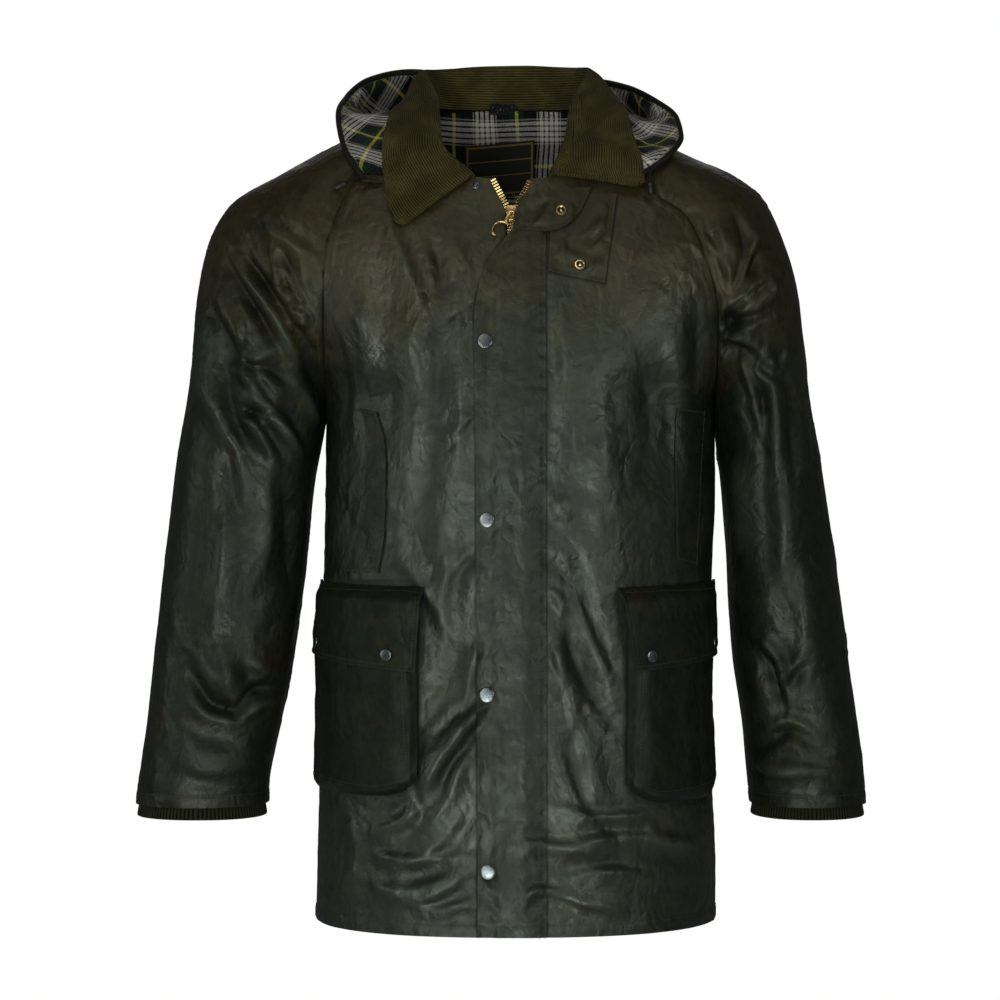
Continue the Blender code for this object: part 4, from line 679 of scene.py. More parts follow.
class Cloth:
    """A panel as a fine grid: its smooth base, the way out of it, and the height of its creases."""

    def __init__(self, base, flip=False, closed_from=None):
        self.base, self.flip, self.closed_from = base, flip, closed_from
        self.normals = grid_normals(base, flip, closed_from)
        self.relief = np.zeros(base.shape[:2])
        self.tone = np.zeros(base.shape[:2])
        self.along, self.down = lengths(base, 1), lengths(base, 0)

    def surface(self, out=0.0):
        return self.base + self.normals * (self.relief + out)[..., None]

    def edge_distance(self):
        """Metres to the nearest open edge down the sides of the panel."""
        away = np.minimum(self.along, self.along[:, -1:] - self.along)
        if self.closed_from is not None:
            away[self.closed_from:] = 1
        return away

    def cut(self):
        """Width, length and area of the flat piece."""
        corner = np.cross(np.diff(self.base, axis=1)[:-1], np.diff(self.base, axis=0)[:, :-1])
        area = float(np.linalg.norm(corner, axis=-1).sum())
        width, length = float(self.along[:, -1].max()), float(self.down[-1].max())
        return round(width, 3), round(length, 3), round(area, 4)

    def build(self, name, material, thick, uv):
        """A closed wall: the fine outside, a coarser inside below its lowest folds, and the rims."""
        every = COARSE
        rows, cols = self.base.shape[:2]
        ids = np.arange(rows * cols).reshape(rows, cols)
        low = lowest_near(self.relief, every)[::every, ::every]
        inside = self.base[::every, ::every] + self.normals[::every, ::every] * (low - thick)[..., None]
        in_rows, in_cols = inside.shape[:2]
        in_ids = rows * cols + np.arange(in_rows * in_cols).reshape(in_rows, in_cols)
        rims = []
        stop = rows
        if self.closed_from is not None:
            ids[self.closed_from:, -1] = ids[self.closed_from:, 0]
            in_ids[self.closed_from // every:, -1] = in_ids[self.closed_from // every:, 0]
            stop = self.closed_from + 1
        in_stop = (stop - 1) // every + 1
        rims += rim(ids[0], in_ids[0], every, True) + rim(ids[-1], in_ids[-1], every, False)
        rims += rim(ids[:stop, 0], in_ids[:in_stop, 0], every, False)
        rims += rim(ids[:stop, -1], in_ids[:in_stop, -1], every, True)
        faces = grid_faces(ids).tolist() + grid_faces(in_ids)[:, ::-1].tolist() + rims
        if self.flip:
            faces = [face[::-1] for face in faces]
        points = np.vstack([self.surface().reshape(-1, 3), inside.reshape(-1, 3)])
        if uv is None:
            uv = stack(self.along, -self.down)
        uvs = np.vstack([uv.reshape(-1, 2), uv[::every, ::every].reshape(-1, 2)])
        tones = np.concatenate([self.tone.ravel(), self.tone[::every, ::every].ravel()])
        used = np.unique(np.concatenate([np.array(face) for face in faces]))
        place = np.zeros(len(points), int)
        place[used] = np.arange(len(used))
        faces = [[int(place[k]) for k in face] for face in faces]
        return make(name, points[used], faces, material, uvs[used], tones[used])

    def piece(self, name, finish, node, slot, held, thick=CLOTH, uv=None):
        """The built cloth with its body, the solid it stands for, its slot, which is not used, and its cut.
        """
        item = self.build(name, FINISHES[finish], thick, uv)
        width, length, area = self.cut()
        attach(item, "jacket")
        if node:
            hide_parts(node)


def rim(line, inner, every, forward):
    """Faces between a fine edge line outside and the coarse one inside."""
    faces = []
    for k in range(len(inner) - 1):
        face = [int(n) for n in line[k * every:(k + 1) * every + 1]] + [int(inner[k + 1]), int(inner[k])]
        faces.append(face[::-1] if forward else face)
    return faces


def round_corner(points, low, right, radius):
    """Rounds a corner of a grid in place: top or low, left or right."""
    part = points[::-1 if low else 1, ::-1 if right else 1]
    x, y = radius - lengths(part, 1), radius - lengths(part, 0)
    inside = (x > 0) & (y > 0)
    share = np.where(inside, 1 - np.maximum(x, y) / np.maximum(np.hypot(x, y), 1e-9), 0)
    across, down = unit(np.gradient(part, axis=1)), unit(np.gradient(part, axis=0))
    part += across * (x * share)[..., None] + down * (y * share)[..., None]


# ---- main panels ----
SEAM_OPEN = SEAM / 10      # how far each panel's edge draws back from a seam
SHADOW_WIDE = .0026          # width of the painted shadow, a dark line beside a piece on the fronts
WELT_SHADOW = .15            # how dark the painted shadow is beside a welt, which lies nearly flat


class Panels:
    """The five cloth panels, creased, with the way out of them shared along their seams."""

    def __init__(self):
        body, sleeve = row_places(BODY_ROWS), row_places(SLEEVE_ROWS)
        self.cloth = {}
        for side, word in WORDS.items():
            u, v = np.meshgrid(np.linspace(0, 1, FRONT_COLS + 1), body)
            self.cloth["front_" + word] = Cloth(front_point(side, u, v), side == LEFT)
            turn, v = np.meshgrid(np.linspace(0, 1, SLEEVE_COLS + 1), sleeve)
            self.cloth["sleeve_" + word] = Cloth(sleeve_point(side, turn, v), side == LEFT, UPPER_ROWS)
        u, v = np.meshgrid(np.linspace(0, 1, BACK_COLS // 2 + 1), body)
        halves = [back_half(RIGHT, u, v)[:, ::-1], back_half(LEFT, u, v)[:, 1:]]
        self.cloth["back"] = Cloth(np.concatenate(halves, axis=1))
        self.share_normals()
        self.crease_sleeves()
        self.crease_body()
        self.shade_under()
        self.open_seams()

    def share_normals(self):
        """One way out along each seam, but not in the underarm's sharp valley."""
        raglan, side_seam = slice(0, int(UPPER_ROWS * .8)), slice(UPPER_ROWS, None)
        for side, word in WORDS.items():
            back_edge = 0 if side == RIGHT else -1
            self.share("front_" + word, -1, "sleeve_" + word, 0, raglan)
            self.share("back", back_edge, "sleeve_" + word, -1, raglan)
            self.share("front_" + word, -1, "back", back_edge, side_seam)

    def share(self, one, one_col, other, other_col, rows):
        a, b = self.cloth[one].normals, self.cloth[other].normals
        both = unit(a[rows, one_col] + b[rows, other_col])
        a[rows, one_col] = both
        b[rows, other_col] = both

    def crease_sleeves(self):
        for side, word in WORDS.items():
            cloth = self.cloth["sleeve_" + word]
            behind = cloth.normals[..., 1] > 0
            place = cloth.base - behind[..., None] * np.array([0, 0, BEHIND_SHIFT])
            made = crease_height(SLEEVE_CREASES[side], place, SLEEVE_WIDER)
            made *= np.where(behind, SLEEVE_HIGHER_BEHIND, SLEEVE_HIGHER)
            self.finish_relief(cloth, fold_height(SLEEVE_FOLDS[side], place), made, 1)

    def crease_body(self):
        for name, folds, creases in (("front_right", FRONT_FOLDS, FRONT_CREASES),
                                     ("front_left", FRONT_FOLDS, FRONT_CREASES),
                                     ("back", BACK_FOLDS, BACK_CREASES)):
            cloth = self.cloth[name]
            made = crease_height(creases, cloth.base) * BODY_HIGHER
            self.finish_relief(cloth, fold_height(folds, cloth.base), made, 0)

    def finish_relief(self, cloth, folds, creases, seed):
        """Folds and creases fade at the edges, where seams and hem have a relief of their own."""
        edge = cloth.edge_distance()
        hem = cloth.down[-1:] - cloth.down
        facing = ease(0, .6, np.abs(cloth.normals[..., 1]))
        fade = ease(0, .012, edge) * ease(0, .03, cloth.down) * (.3 + .7 * ease(0, .02, hem))
        crumpled, lines = crumple(cloth.base, seed)
        neck = .35 + .65 * ease(.02, .10, cloth.down)
        cloth.relief = (folds + creases) * facing * fade + crumpled * (.4 + .6 * fade) * neck
        cloth.relief += felled_seam(edge, cloth.base) + turned_hem(hem, cloth.base)
        # The creases' crests are painted paler and their troughs darker, as painted light and shade.
        cloth.tone = np.clip(creases * facing / .004, -1, 1) * .6 + lines * .5
        cloth.tone -= .4 * np.exp(-(edge / .0016) ** 2) + .5 * np.exp(-((hem - HEM_STITCH) / .002) ** 2)

    def shade_under(self):
        """Painted shadow: a dark line in the tone beside each piece that lies on the fronts."""
        downs = np.linspace(FLAP_HIGH, -HEM_Z, 60)
        for side, word in WORDS.items():
            p = POCKET[side]
            corner = [(p["near"] + BAG_CORNER * (1 - math.sin(a)),
                       p["bottom"] + BAG_CORNER * (1 - math.cos(a))) for a in np.radians([90, 60, 30, 0])]
            flap_corner = (p["flap_low_near"], p["flap_low"])
            bag = [flap_corner, (p["near"], p["top"]), *corner, (POCKET_END, p["bottom"])]
            flap = [(POCKET_END, p["flap_top"]), (p["flap_near"], p["flap_top"]), flap_corner]
            outlines = [(stack(FLAP_EDGE.at("free_x", downs), -downs), 1.0),
                        (stack(FLAP_EDGE.at("sewn_x", downs), -downs), .8),
                        ([(side * x, z) for x, z in bag], 1.0), ([(side * x, z) for x, z in flap], 1.0),
                        (TAB[1:] + TAB[:1], 1.0), (TURNBACK_LOW + TURNBACK_TOP[-1:], 1.0),
                        (WELT_LINES[side][0], WELT_SHADOW), (WELT_LINES[side][1], WELT_SHADOW)]
            cloth = self.cloth["front_" + word]
            for line, dark in outlines:
                away = near_path(cloth.base[..., 0], cloth.base[..., 2], np.asarray(line))[0]
                cloth.tone -= dark * np.exp(-(away / SHADOW_WIDE) ** 2)

    def open_seams(self):
        for name, cloth in self.cloth.items():
            sleeve = name.startswith("sleeve")
            upto = UPPER_ROWS if sleeve else len(cloth.base)
            for edge, inner in ((0, 1), (-1, -2)):
                if name.startswith("front") and edge == 0:
                    continue
                line, beside = cloth.base[:upto, edge], cloth.base[:upto, inner]
                cloth.base[:upto, edge] = line + unit(beside - line) * SEAM_OPEN
            if sleeve:
                outward = np.sign(cloth.base[upto, 0, 0]) * 2 * SEAM
                cloth.base[upto, [0, -1]] += np.array([outward, 0, -SEAM])

    def build(self):
        for name, cloth in self.cloth.items():
            finish = "waxed_cotton" if name.startswith("sleeve") else "body_cotton"
            cloth.piece(name + "_cloth", finish, name, "waxed_cotton", "hung")


def crumple(points, seed):
    """Soft unevenness, small dents, patches of thin wandering ridges and a finer net of them."""
    soft = waves(points, .085, seed) * .0012
    dents = waves(points, (.030, .030, .045), seed + 5) * .0005
    patches = ease(-.05, .45, waves(points, .10, seed + 9))
    bent = points + stack(*(waves(points, .06, seed + k) * .014 for k in (11, 12, 13)))
    lines = crinkle(bent, (.044, .044, .060), seed + 3, 9) * patches
    short = crinkle(bent, (.021, .021, .026), seed + 4, 6) * ease(-.1, .5, waves(points, .07, seed + 8))
    troughs = crinkle(bent, (.038, .038, .055), seed + 6, 9) * patches
    small = crinkle(bent, (.013, .013, .015), seed + 7, 5) * ease(-.3, .4, waves(points, .05, seed + 2))
    height = soft + dents + (lines - troughs) * .0012 + short * .0008 + small * .0003
    # The tone it gives: thin ridges paler, as creased wax, and troughs darker, as painted shade.
    return height, .7 * lines + .35 * short + .2 * small - .5 * troughs


def felled_seam(edge, points):
    """The edge turned under, the allowance beneath it, and puckers beside it."""
    turned = -.0004 * np.exp(-(edge / .0020) ** 2)
    allowance = .0006 * ease(.0125, .0085, edge)
    puckers = .0005 * waves(points, .011, 21) * np.exp(-(edge / .014) ** 2)
    return turned + allowance + puckers


def turned_hem(hem, points):
    """The hem's double cloth, the dip under its stitching, and puckers along it."""
    double = .0006 * ease(HEM_STITCH + .0015, HEM_STITCH - .001, hem)
    dip = -.0005 * np.exp(-((hem - HEM_STITCH) / .0022) ** 2)
    puckers = .0006 * waves(points, (.014, .014, .03), 31) * np.exp(-((hem - HEM_STITCH) / .012) ** 2)
    return double + dip + puckers


def read(values, i, j):
    """Values of a grid read between its rows i and columns j, which may be fractions."""
    rows, cols = values.shape[:2]
    low_i = np.clip(np.floor(i).astype(int), 0, rows - 2)
    low_j = np.clip(np.floor(j).astype(int), 0, cols - 2)
    s, t = (j - low_j), (i - low_i)
    if values.ndim == 3:
        s, t = s[..., None], t[..., None]
    upper = values[low_i, low_j] * (1 - s) + values[low_i, low_j + 1] * s
    lower = values[low_i + 1, low_j] * (1 - s) + values[low_i + 1, low_j + 1] * s
    return upper * (1 - t) + lower * t


def on_front(side, u, v, out):
    """Points on the creased front panel at u and v, moved out from it."""
    cloth = PANELS.cloth["front_" + WORDS[side]]
    i = np.where(v < 1, v * UPPER_ROWS, UPPER_ROWS + (v - 1) * BODY_ROWS)
    j = u * FRONT_COLS
    return read(cloth.surface(), i, j) + unit(read(cloth.normals, i, j)) * np.asarray(out)[..., None]


def find_place(surface, x, z, u, v, ends, stride=np.inf):
    """u and v at which a surface passes x and z in the front view, stepping on from a first guess."""
    step = .01
    for _ in range(12):
        here = surface(u, v)
        du, dv = (surface(u + step, v) - here) / step, (surface(u, v + step) - here) / step
        miss_x, miss_z = x - here[..., 0], z - here[..., 2]
        area = du[..., 0] * dv[..., 2] - du[..., 2] * dv[..., 0]
        area = np.where(np.abs(area) < 1e-9, 1e-9, area)
        u = u + np.clip((miss_x * dv[..., 2] - miss_z * dv[..., 0]) / area, -stride, stride)
        v = v + np.clip((du[..., 0] * miss_z - du[..., 2] * miss_x) / area, -stride, stride)
        u, v = np.clip(u, *ends[0]), np.clip(v, *ends[1])
    return u, v


def find_front(side, x, z):
    """u and v of the front panel's points at x and z in the front view."""
    x, z = np.broadcast_arrays(np.asarray(x, float), np.asarray(z, float))
    v = np.where(z < ARMPIT_Z, 1 + (z - ARMPIT_Z) / (HEM_Z - ARMPIT_Z), np.clip((-z - .09) / .23, 0, 1))
    return find_place(lambda u, v: front_point(side, u, v), x, z, np.clip(np.abs(x) / .21, .02, .9), v,
                      ((-.08, 1), (0, 1.999)), .2)


def on_fronts(x, z, out=0.0):
    """Points on the two fronts at x and z in the front view, moved out; the zip gap is bridged."""
    x, z, out = np.broadcast_arrays(np.asarray(x, float), np.asarray(z, float), np.asarray(out, float))
    edge = ZIP_HALF + 1e-5
    share = np.clip((x / ZIP_HALF + 1) / 2, 0, 1)
    result = np.zeros(x.shape + (3,))
    for side, weight in ((RIGHT, 1 - share), (LEFT, share)):
        used = weight > 0
        if used.any():
            at = np.minimum(x[used], -edge) if side == RIGHT else np.maximum(x[used], edge)
            place = find_front(side, at, z[used])
            result[used] += on_front(side, *place, out[used]) * weight[used][..., None]
    return result


# ---- sewing and what repeats along a path ----
class Paths:
    """Paths on the cloth, with the way out at each point, gathered until they are sewn."""

    def __init__(self):
        self.points, self.out, self.edges = [], [], []

    def add(self, points, out, lift=.0002):
        start = sum(len(p) for p in self.points)
        self.points.append(points + out * lift)
        self.out.append(out)
        self.edges += [(start + k, start + k + 1) for k in range(len(points) - 1)]

    def beside(self, cloth, inset, part, across, far):
        """Along an edge of a cloth, a set way in."""
        ways = cloth.down.T if across else cloth.along
        if far:
            ways = ways[:, -1:] - ways
        order = slice(None, None, -1) if far else slice(None)
        steps = np.arange(ways.shape[1], dtype=float)[order]
        i = np.arange(ways.shape[0], dtype=float)[part]
        j = np.array([np.interp(inset, way[order], steps) for way in ways])[part]
        if across:
            i, j = j, i
        self.add(read(cloth.surface(), i, j), unit(read(cloth.normals, i, j)))

    def down(self, cloth, inset, rows=slice(None), right=False):
        self.beside(cloth, inset, rows, False, right)

    def both(self, cloth, inset, rows=slice(None)):
        """Along both side edges."""
        self.down(cloth, inset, rows)
        self.down(cloth, inset, rows, right=True)

    def across(self, cloth, inset, cols=slice(None), low=True):
        self.beside(cloth, inset, cols, True, low)

    def build(self, name):
        mesh = bpy.data.meshes.new(name)
        mesh.from_pydata([tuple(p) for p in np.vstack(self.points)], self.edges, [])
        way = mesh.attributes.new("out", "FLOAT_VECTOR", "POINT")
        way.data.foreach_set("vector", np.vstack(self.out).ravel())
        return add_object(name, mesh)


def row_tree():
    """Sets copies of one piece along paths, an even pitch apart, their x along the path."""
    tree = bpy.data.node_groups.new("row along a path", "GeometryNodeTree")
    for name, kind in (("Geometry", "Geometry"), ("Piece", "Object"), ("Pitch", "Float"),
                       ("Material", "Material")):
        tree.interface.new_socket(name, in_out="INPUT", socket_type="NodeSocket" + kind)
    tree.interface.new_socket("Geometry", in_out="OUTPUT", socket_type="NodeSocketGeometry")

    def add(kind, **settings):
        node = tree.nodes.new(kind)
        for key, value in settings.items():
            setattr(node, key, value)
        return node

    given, result = add("NodeGroupInput"), add("NodeGroupOutput")
    curve, even = add("GeometryNodeMeshToCurve"), add("GeometryNodeResampleCurve", mode="LENGTH")
    spots = add("GeometryNodeCurveToPoints", mode="EVALUATED")
    along = add("FunctionNodeAlignRotationToVector", axis="X")
    upright = add("FunctionNodeAlignRotationToVector", axis="Z", pivot_axis="X")
    out = add("GeometryNodeInputNamedAttribute", data_type="FLOAT_VECTOR")
    out.inputs["Name"].default_value = "out"
    piece, copies = add("GeometryNodeObjectInfo"), add("GeometryNodeInstanceOnPoints")
    real, painted = add("GeometryNodeRealizeInstances"), add("GeometryNodeSetMaterial")
    for one, source, other, target in (
            (given, "Geometry", curve, "Mesh"), (curve, "Curve", even, "Curve"),
            (given, "Pitch", even, "Length"), (even, "Curve", spots, "Curve"),
            (spots, "Points", copies, "Points"), (spots, "Tangent", along, "Vector"),
            (along, "Rotation", upright, "Rotation"), (out, "Attribute", upright, "Vector"),
            (upright, "Rotation", copies, "Rotation"), (given, "Piece", piece, "Object"),
            (piece, "Geometry", copies, "Instance"), (copies, "Instances", real, "Geometry"),
            (real, "Geometry", painted, "Geometry"), (given, "Material", painted, "Material"),
            (painted, "Geometry", result, "Geometry")):
        tree.links.new(one.outputs[source], other.inputs[target])
    return tree


def set_along(name, paths, piece, pitch, finish, slot):
    """Copies of a piece along paths, made one plain mesh."""
    base = paths.build(name + "_paths")
    row = base.modifiers.new("row", "NODES")
    row.node_group = ROW_TREE
    values = {"Piece": piece, "Pitch": pitch, "Material": FINISHES[finish]}
    for socket in ROW_TREE.interface.items_tree:
        if socket.in_out == "INPUT" and socket.name in values:
            row[socket.identifier] = values[socket.name]
    bpy.context.view_layer.update()
    mesh = bpy.data.meshes.new_from_object(base.evaluated_get(bpy.context.evaluated_depsgraph_get()))
    for attribute in [a for a in mesh.attributes if a.name in ("out", "rotation")]:
        mesh.attributes.remove(attribute)
    bpy.data.objects.remove(base)
    bpy.data.objects.remove(piece)
    mesh.shade_smooth()
    mesh.set_sharp_from_angle(angle=math.radians(ROW_SHARP))
    item = add_object(name, mesh)
    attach(item, "jacket")
    return item


def piece_of(name, maker, size):
    """A small mesh made by a bmesh operator and scaled, for a row of copies."""
    work = bmesh.new()
    maker(work)
    bmesh.ops.scale(work, vec=size, verts=work.verts)
    mesh = bpy.data.meshes.new(name)
    work.to_mesh(mesh)
    work.free()
    return add_object(name, mesh)


# ---- finishes ----
class Finish:
    """A material, with short calls that add its nodes."""

    def __init__(self, name, rough=.5, metal=0.0, **fixed):
        self.material = bpy.data.materials.new(name)
        self.material.use_nodes = True
        self.tree = self.material.node_tree
        self.shader = self.tree.nodes["Principled BSDF"]
        self.shader.inputs["Roughness"].default_value = rough
        self.shader.inputs["Metallic"].default_value = metal
        for socket, value in fixed.items():
            self.shader.inputs[socket.replace("_", " ")].default_value = value
        self.place = self.add("TexCoord").outputs["Object"]

    def add(self, kind, values=None, **settings):
        node = self.tree.nodes.new("ShaderNode" + kind)
        for key, value in settings.items():
            setattr(node, key, value)
        for key, value in (values or {}).items():
            self.put(node.inputs[key], value)
        return node

    def put(self, socket, value):
        if isinstance(value, bpy.types.NodeSocket):
            self.tree.links.new(value, socket)
        else:
            socket.default_value = value

    def math(self, operation, *values):
        return self.add("Math", dict(enumerate(values)), operation=operation).outputs[0]

    def noise(self, size, detail=3.0, rough=.55, place=None, stretch=None):
        """0 to 1, its patches about size metres across."""
        where = place or self.place
        if stretch:
            where = self.add("Mapping", {"Vector": where, "Scale": stretch}).outputs[0]
        given = {"Vector": where, "Scale": 1 / size, "Detail": detail, "Roughness": rough}
        return self.add("TexNoise", given).outputs["Fac"]

    def warped(self, size, amount):
        """A wandering offset up to amount metres, its waves about size long."""
        given = {"Vector": self.place, "Scale": 1 / size, "Detail": 1.0}
        colour = self.add("TexNoise", given).outputs["Color"]
        middle = self.add("VectorMath", {0: colour, 1: (.5, .5, .5)}, operation="SUBTRACT").outputs[0]
        return self.add("VectorMath", {0: middle, "Scale": amount}, operation="SCALE").outputs[0]

    def billow(self, size, place, stretch=None):
        """Soft facets with sharp valleys between them, 0 in a valley."""
        fold = self.math("ABSOLUTE", self.math("SUBTRACT", self.noise(size, 1.5, .5, place, stretch), .5))
        return self.math("MINIMUM", self.math("MULTIPLY", fold, 4), 1)

    def spread(self, value, low, high, to_low=0.0, to_high=1.0):
        given = {"Value": value, "From Min": low, "From Max": high, "To Min": to_low, "To Max": to_high}
        return self.add("MapRange", given, interpolation_type="SMOOTHSTEP").outputs[0]

    def mix(self, share, one, other):
        given = {0: share, 6: one, 7: other}
        return self.add("Mix", given, data_type="RGBA").outputs[2]

    def attribute(self, name):
        return self.add("Attribute", attribute_name=name).outputs["Fac"]

    def bump(self, height, distance, strength=1.0, below=None):
        given = {"Height": height, "Distance": distance, "Strength": strength}
        if below:
            given["Normal"] = below
        return self.add("Bump", given).outputs[0]

    def finish(self, colour=None, rough=None, normal=None):
        if colour is not None:
            self.put(self.shader.inputs["Base Color"], colour)
        if rough is not None:
            self.put(self.shader.inputs["Roughness"], rough)
        if normal is not None:
            self.put(self.shader.inputs["Normal"], normal)
        return self.material


def rgb(red, green, blue):
    """A colour of a material from 0 to 255 display values."""
    def linear(value):
        value /= 255
        return value / 12.92 if value <= .04045 else ((value + .055) / 1.055) ** 2.4
    return (linear(red), linear(green), linear(blue), 1)


COOL_GLOSS, WARM_GLOSS = (.80, 1.0, .86, 1), (.98, .90, .56, 1)


def waxed_cotton(name, shade=.95, brown=1.0, dull=0.0, coat=.42):
    """Waxed cotton: near black olive under a satin coat of wax, browner high up and in patches.

    shade lightens all its colours, brown is the share of brown, dull adds to the roughness, and coat
    is how strongly it shines.
    """
    f = Finish(name, Specular_IOR_Level=coat)
    high = f.spread(f.add("SeparateXYZ", {0: f.place}).outputs["Z"], -.35, -.10)
    patches = f.noise(.055, 4, .65)
    fine = f.noise(.012, 4, .65)
    share = f.spread(f.math("ADD", f.math("MULTIPLY", high, .36 * brown), patches), .44, .90)
    green, earth, deep, worn = (tuple(v * shade for v in rgb(*c)[:3]) + (1,) for c in (
        (24, 30, 22), (50, 44, 22), (7, 9, 5), (66, 77, 64)))
    colour = f.mix(share, green, earth)
    warm = f.math("MULTIPLY", f.math("ADD", high, patches), .42 * brown)
    f.put(f.shader.inputs["Specular Tint"], f.mix(warm, COOL_GLOSS, WARM_GLOSS))
    colour = f.mix(f.spread(fine, .45, .72, 0, .55), colour, deep)
    # tone above zero paints the paler colour and below zero the dark one. It carries painted light and shade
    # along creases and puckers and a painted shadow beside the pieces on the fronts, besides paler creased
    # wax, paler edges and dark seam lines.
    tone = f.attribute("tone")
    colour = f.mix(f.spread(tone, .12, 1.0, 0, .45), colour, worn)
    colour = f.mix(f.spread(tone, -.05, -.8, 0, .85), colour, deep)
    scuffs = f.spread(f.noise(.0045, 2, .7, stretch=(1, 1, .35)), .62, .80, 0, .30)
    colour = f.mix(scuffs, colour, worn)
    rough = f.spread(f.noise(.035, 4, .65), .3, .72, .34 + dull, .56 + dull)
    rough = f.math("ADD", rough, f.spread(tone, -.1, -.9, 0, .25))
    warp = f.add("VectorMath", {0: f.place, 1: f.warped(.05, .03)}, operation="ADD").outputs[0]
    normal = f.bump(f.billow(.045, warp, (1, 1, .45)), .0020, .5)
    normal = f.bump(f.billow(.017, warp, (1, 1, .8)), .0009, .55, normal)
    normal = f.bump(f.noise(.0060, 4, .65), .0009, .50, normal)
    normal = f.bump(f.noise(.0009, 2, .5), .0003, .40, normal)
    return f.finish(colour, rough, normal)


def corduroy():
    """Corduroy: the wales are in the mesh, and the pile is matt, olive on its crests and dark between,
    partly its own colour and partly painted shade.
    """
    f = Finish("corduroy", .95, Sheen_Weight=.03, Sheen_Roughness=.5, Specular_IOR_Level=.10)
    wale = f.attribute("tone")
    pile = f.noise(.0018, 3, .7)
    wear = f.noise(.03, 3)
    crest = f.mix(f.spread(wear, .35, .7), rgb(66, 61, 31), rgb(86, 80, 43))
    colour = f.mix(f.spread(wale, .80, .15), crest, rgb(11, 11, 4))
    colour = f.mix(f.spread(pile, .4, .75, 0, .4), colour, rgb(20, 19, 8))
    return f.finish(colour, None, f.bump(pile, .0005, .5))


def rib_knit():
    f = Finish("rib_knit", .95, Sheen_Weight=.05, Specular_IOR_Level=.12)
    rib = f.attribute("tone")
    # The knit is painted darker between the ribs: painted shade in the valleys.
    colour = f.mix(f.spread(rib, .7, .1), rgb(44, 43, 25), rgb(12, 12, 6))
    loops = f.noise(.0012, 2, .6, stretch=(1, 1, 2.5))
    colour = f.mix(f.spread(loops, .45, .75, 0, .4), colour, rgb(22, 21, 12))
    return f.finish(colour, None, f.bump(loops, .0005, .6))


TARTAN_SETT = .0675
# How far from the yellow line each band ends, as a share of half the sett, and its colour.
TARTAN = [(.05, (206, 192, 66)), (.22, (16, 54, 34)), (.29, (7, 9, 9)), (.42, (12, 18, 27)),
          (.61, (8, 11, 11)), (.655, (170, 168, 158)), (.70, (14, 17, 17)), (.81, (228, 224, 212)),
          (.86, (16, 19, 20)), (.97, (228, 224, 212)), (1.0, (30, 34, 35))]


def tartan():
    """A mirrored sett, the same both ways, woven as a twill, so bands that cross mix."""
    f = Finish("tartan_lining", .9, Sheen_Weight=.1, Specular_IOR_Level=.15)
    place = f.add("SeparateXYZ", {0: f.add("UVMap", uv_map="UVMap").outputs[0]})
    threads = []
    for axis in ("X", "Y"):
        share = f.math("PINGPONG", f.math("DIVIDE", place.outputs[axis], TARTAN_SETT / 2), 1.0)
        ramp = f.add("ValToRGB", {0: share})
        ramp.color_ramp.interpolation = "CONSTANT"
        stops = ramp.color_ramp.elements
        start = 0.0
        for k, (end, colour) in enumerate(TARTAN):
            stop = stops[k] if k < 2 else stops.new(start)
            stop.position = start
            stop.color = rgb(*colour)
            start = end
        threads.append(ramp.outputs[0])
    twill = f.math("FRACT", f.math("MULTIPLY", f.math("ADD", place.outputs["X"], place.outputs["Y"]), 2300))
    over = f.math("GREATER_THAN", twill, .5)
    colour = f.mix(over, *threads)
    shade = f.spread(f.noise(.02, 3), .3, .8, 0, .25)
    colour = f.mix(shade, colour, rgb(30, 32, 34))
    return f.finish(colour, None, f.bump(f.noise(.0012, 2), .0004, .4))


LABEL_FRAME = .035         # from the label's edge to the middle of its border, as a share
LABEL_LINE = .012          # half the width of an upright line, as a share
LABEL_LEVEL = .016         # and of a level one


def label_cloth():
    """A dark woven label with a narrow gilt border, an inner line above and below, and no words."""
    f = Finish("label_cloth", .75, Sheen_Weight=.1)
    place = f.add("SeparateXYZ", {0: f.add("UVMap", uv_map="UVMap").outputs[0]})
    x, y = place.outputs["X"], place.outputs["Y"]
    lines = []
    low = LABEL_FRAME * 1.3
    for value, at, wide in ((x, LABEL_FRAME, LABEL_LINE), (x, 1 - LABEL_FRAME, LABEL_LINE),
                            (y, low, LABEL_LEVEL), (y, 1 - low, LABEL_LEVEL), (y, .40, .009), (y, .68, .009)):
        lines.append(f.math("LESS_THAN", f.math("ABSOLUTE", f.math("SUBTRACT", value, at)), wide))
    inside, across = (f.math("LESS_THAN", f.math("ABSOLUTE", f.math("SUBTRACT", value, .5)), reach)
                      for value, reach in ((x, .5 - LABEL_FRAME + LABEL_LINE), (y, .5 - low + LABEL_LEVEL)))
    upright = f.math("MULTIPLY", f.math("MAXIMUM", lines[0], lines[1]), across)
    level = lines[2]
    for line in lines[3:]:
        level = f.math("MAXIMUM", level, line)
    gilt = f.math("MAXIMUM", upright, f.math("MULTIPLY", level, inside))
    weave = f.noise(.0011, 2)
    ground = f.mix(weave, rgb(28, 29, 17), rgb(42, 41, 25))
    return f.finish(f.mix(gilt, ground, rgb(150, 122, 52)), None, f.bump(weave, .0003, .4))


def metal(name, bright, tarnish, rough):
    f = Finish(name, rough, 1.0)
    worn = f.noise(.0035, 3, .6)
    colour = f.mix(f.spread(worn, .5, .8, 0, .5), bright, tarnish)
    return f.finish(colour, f.spread(worn, .3, .8, rough * .8, rough * 1.3), f.bump(worn, .00004, .1))


def plain_cloth(name, colour, dark, size, rough=.85):
    """Tape, binding, thread or cord: one colour broken up by its weave."""
    f = Finish(name, rough, Specular_IOR_Level=.25)
    weave = f.noise(size, 2, .6)
    return f.finish(f.mix(f.spread(weave, .35, .7), colour, dark), None, f.bump(weave, .0003, .5))


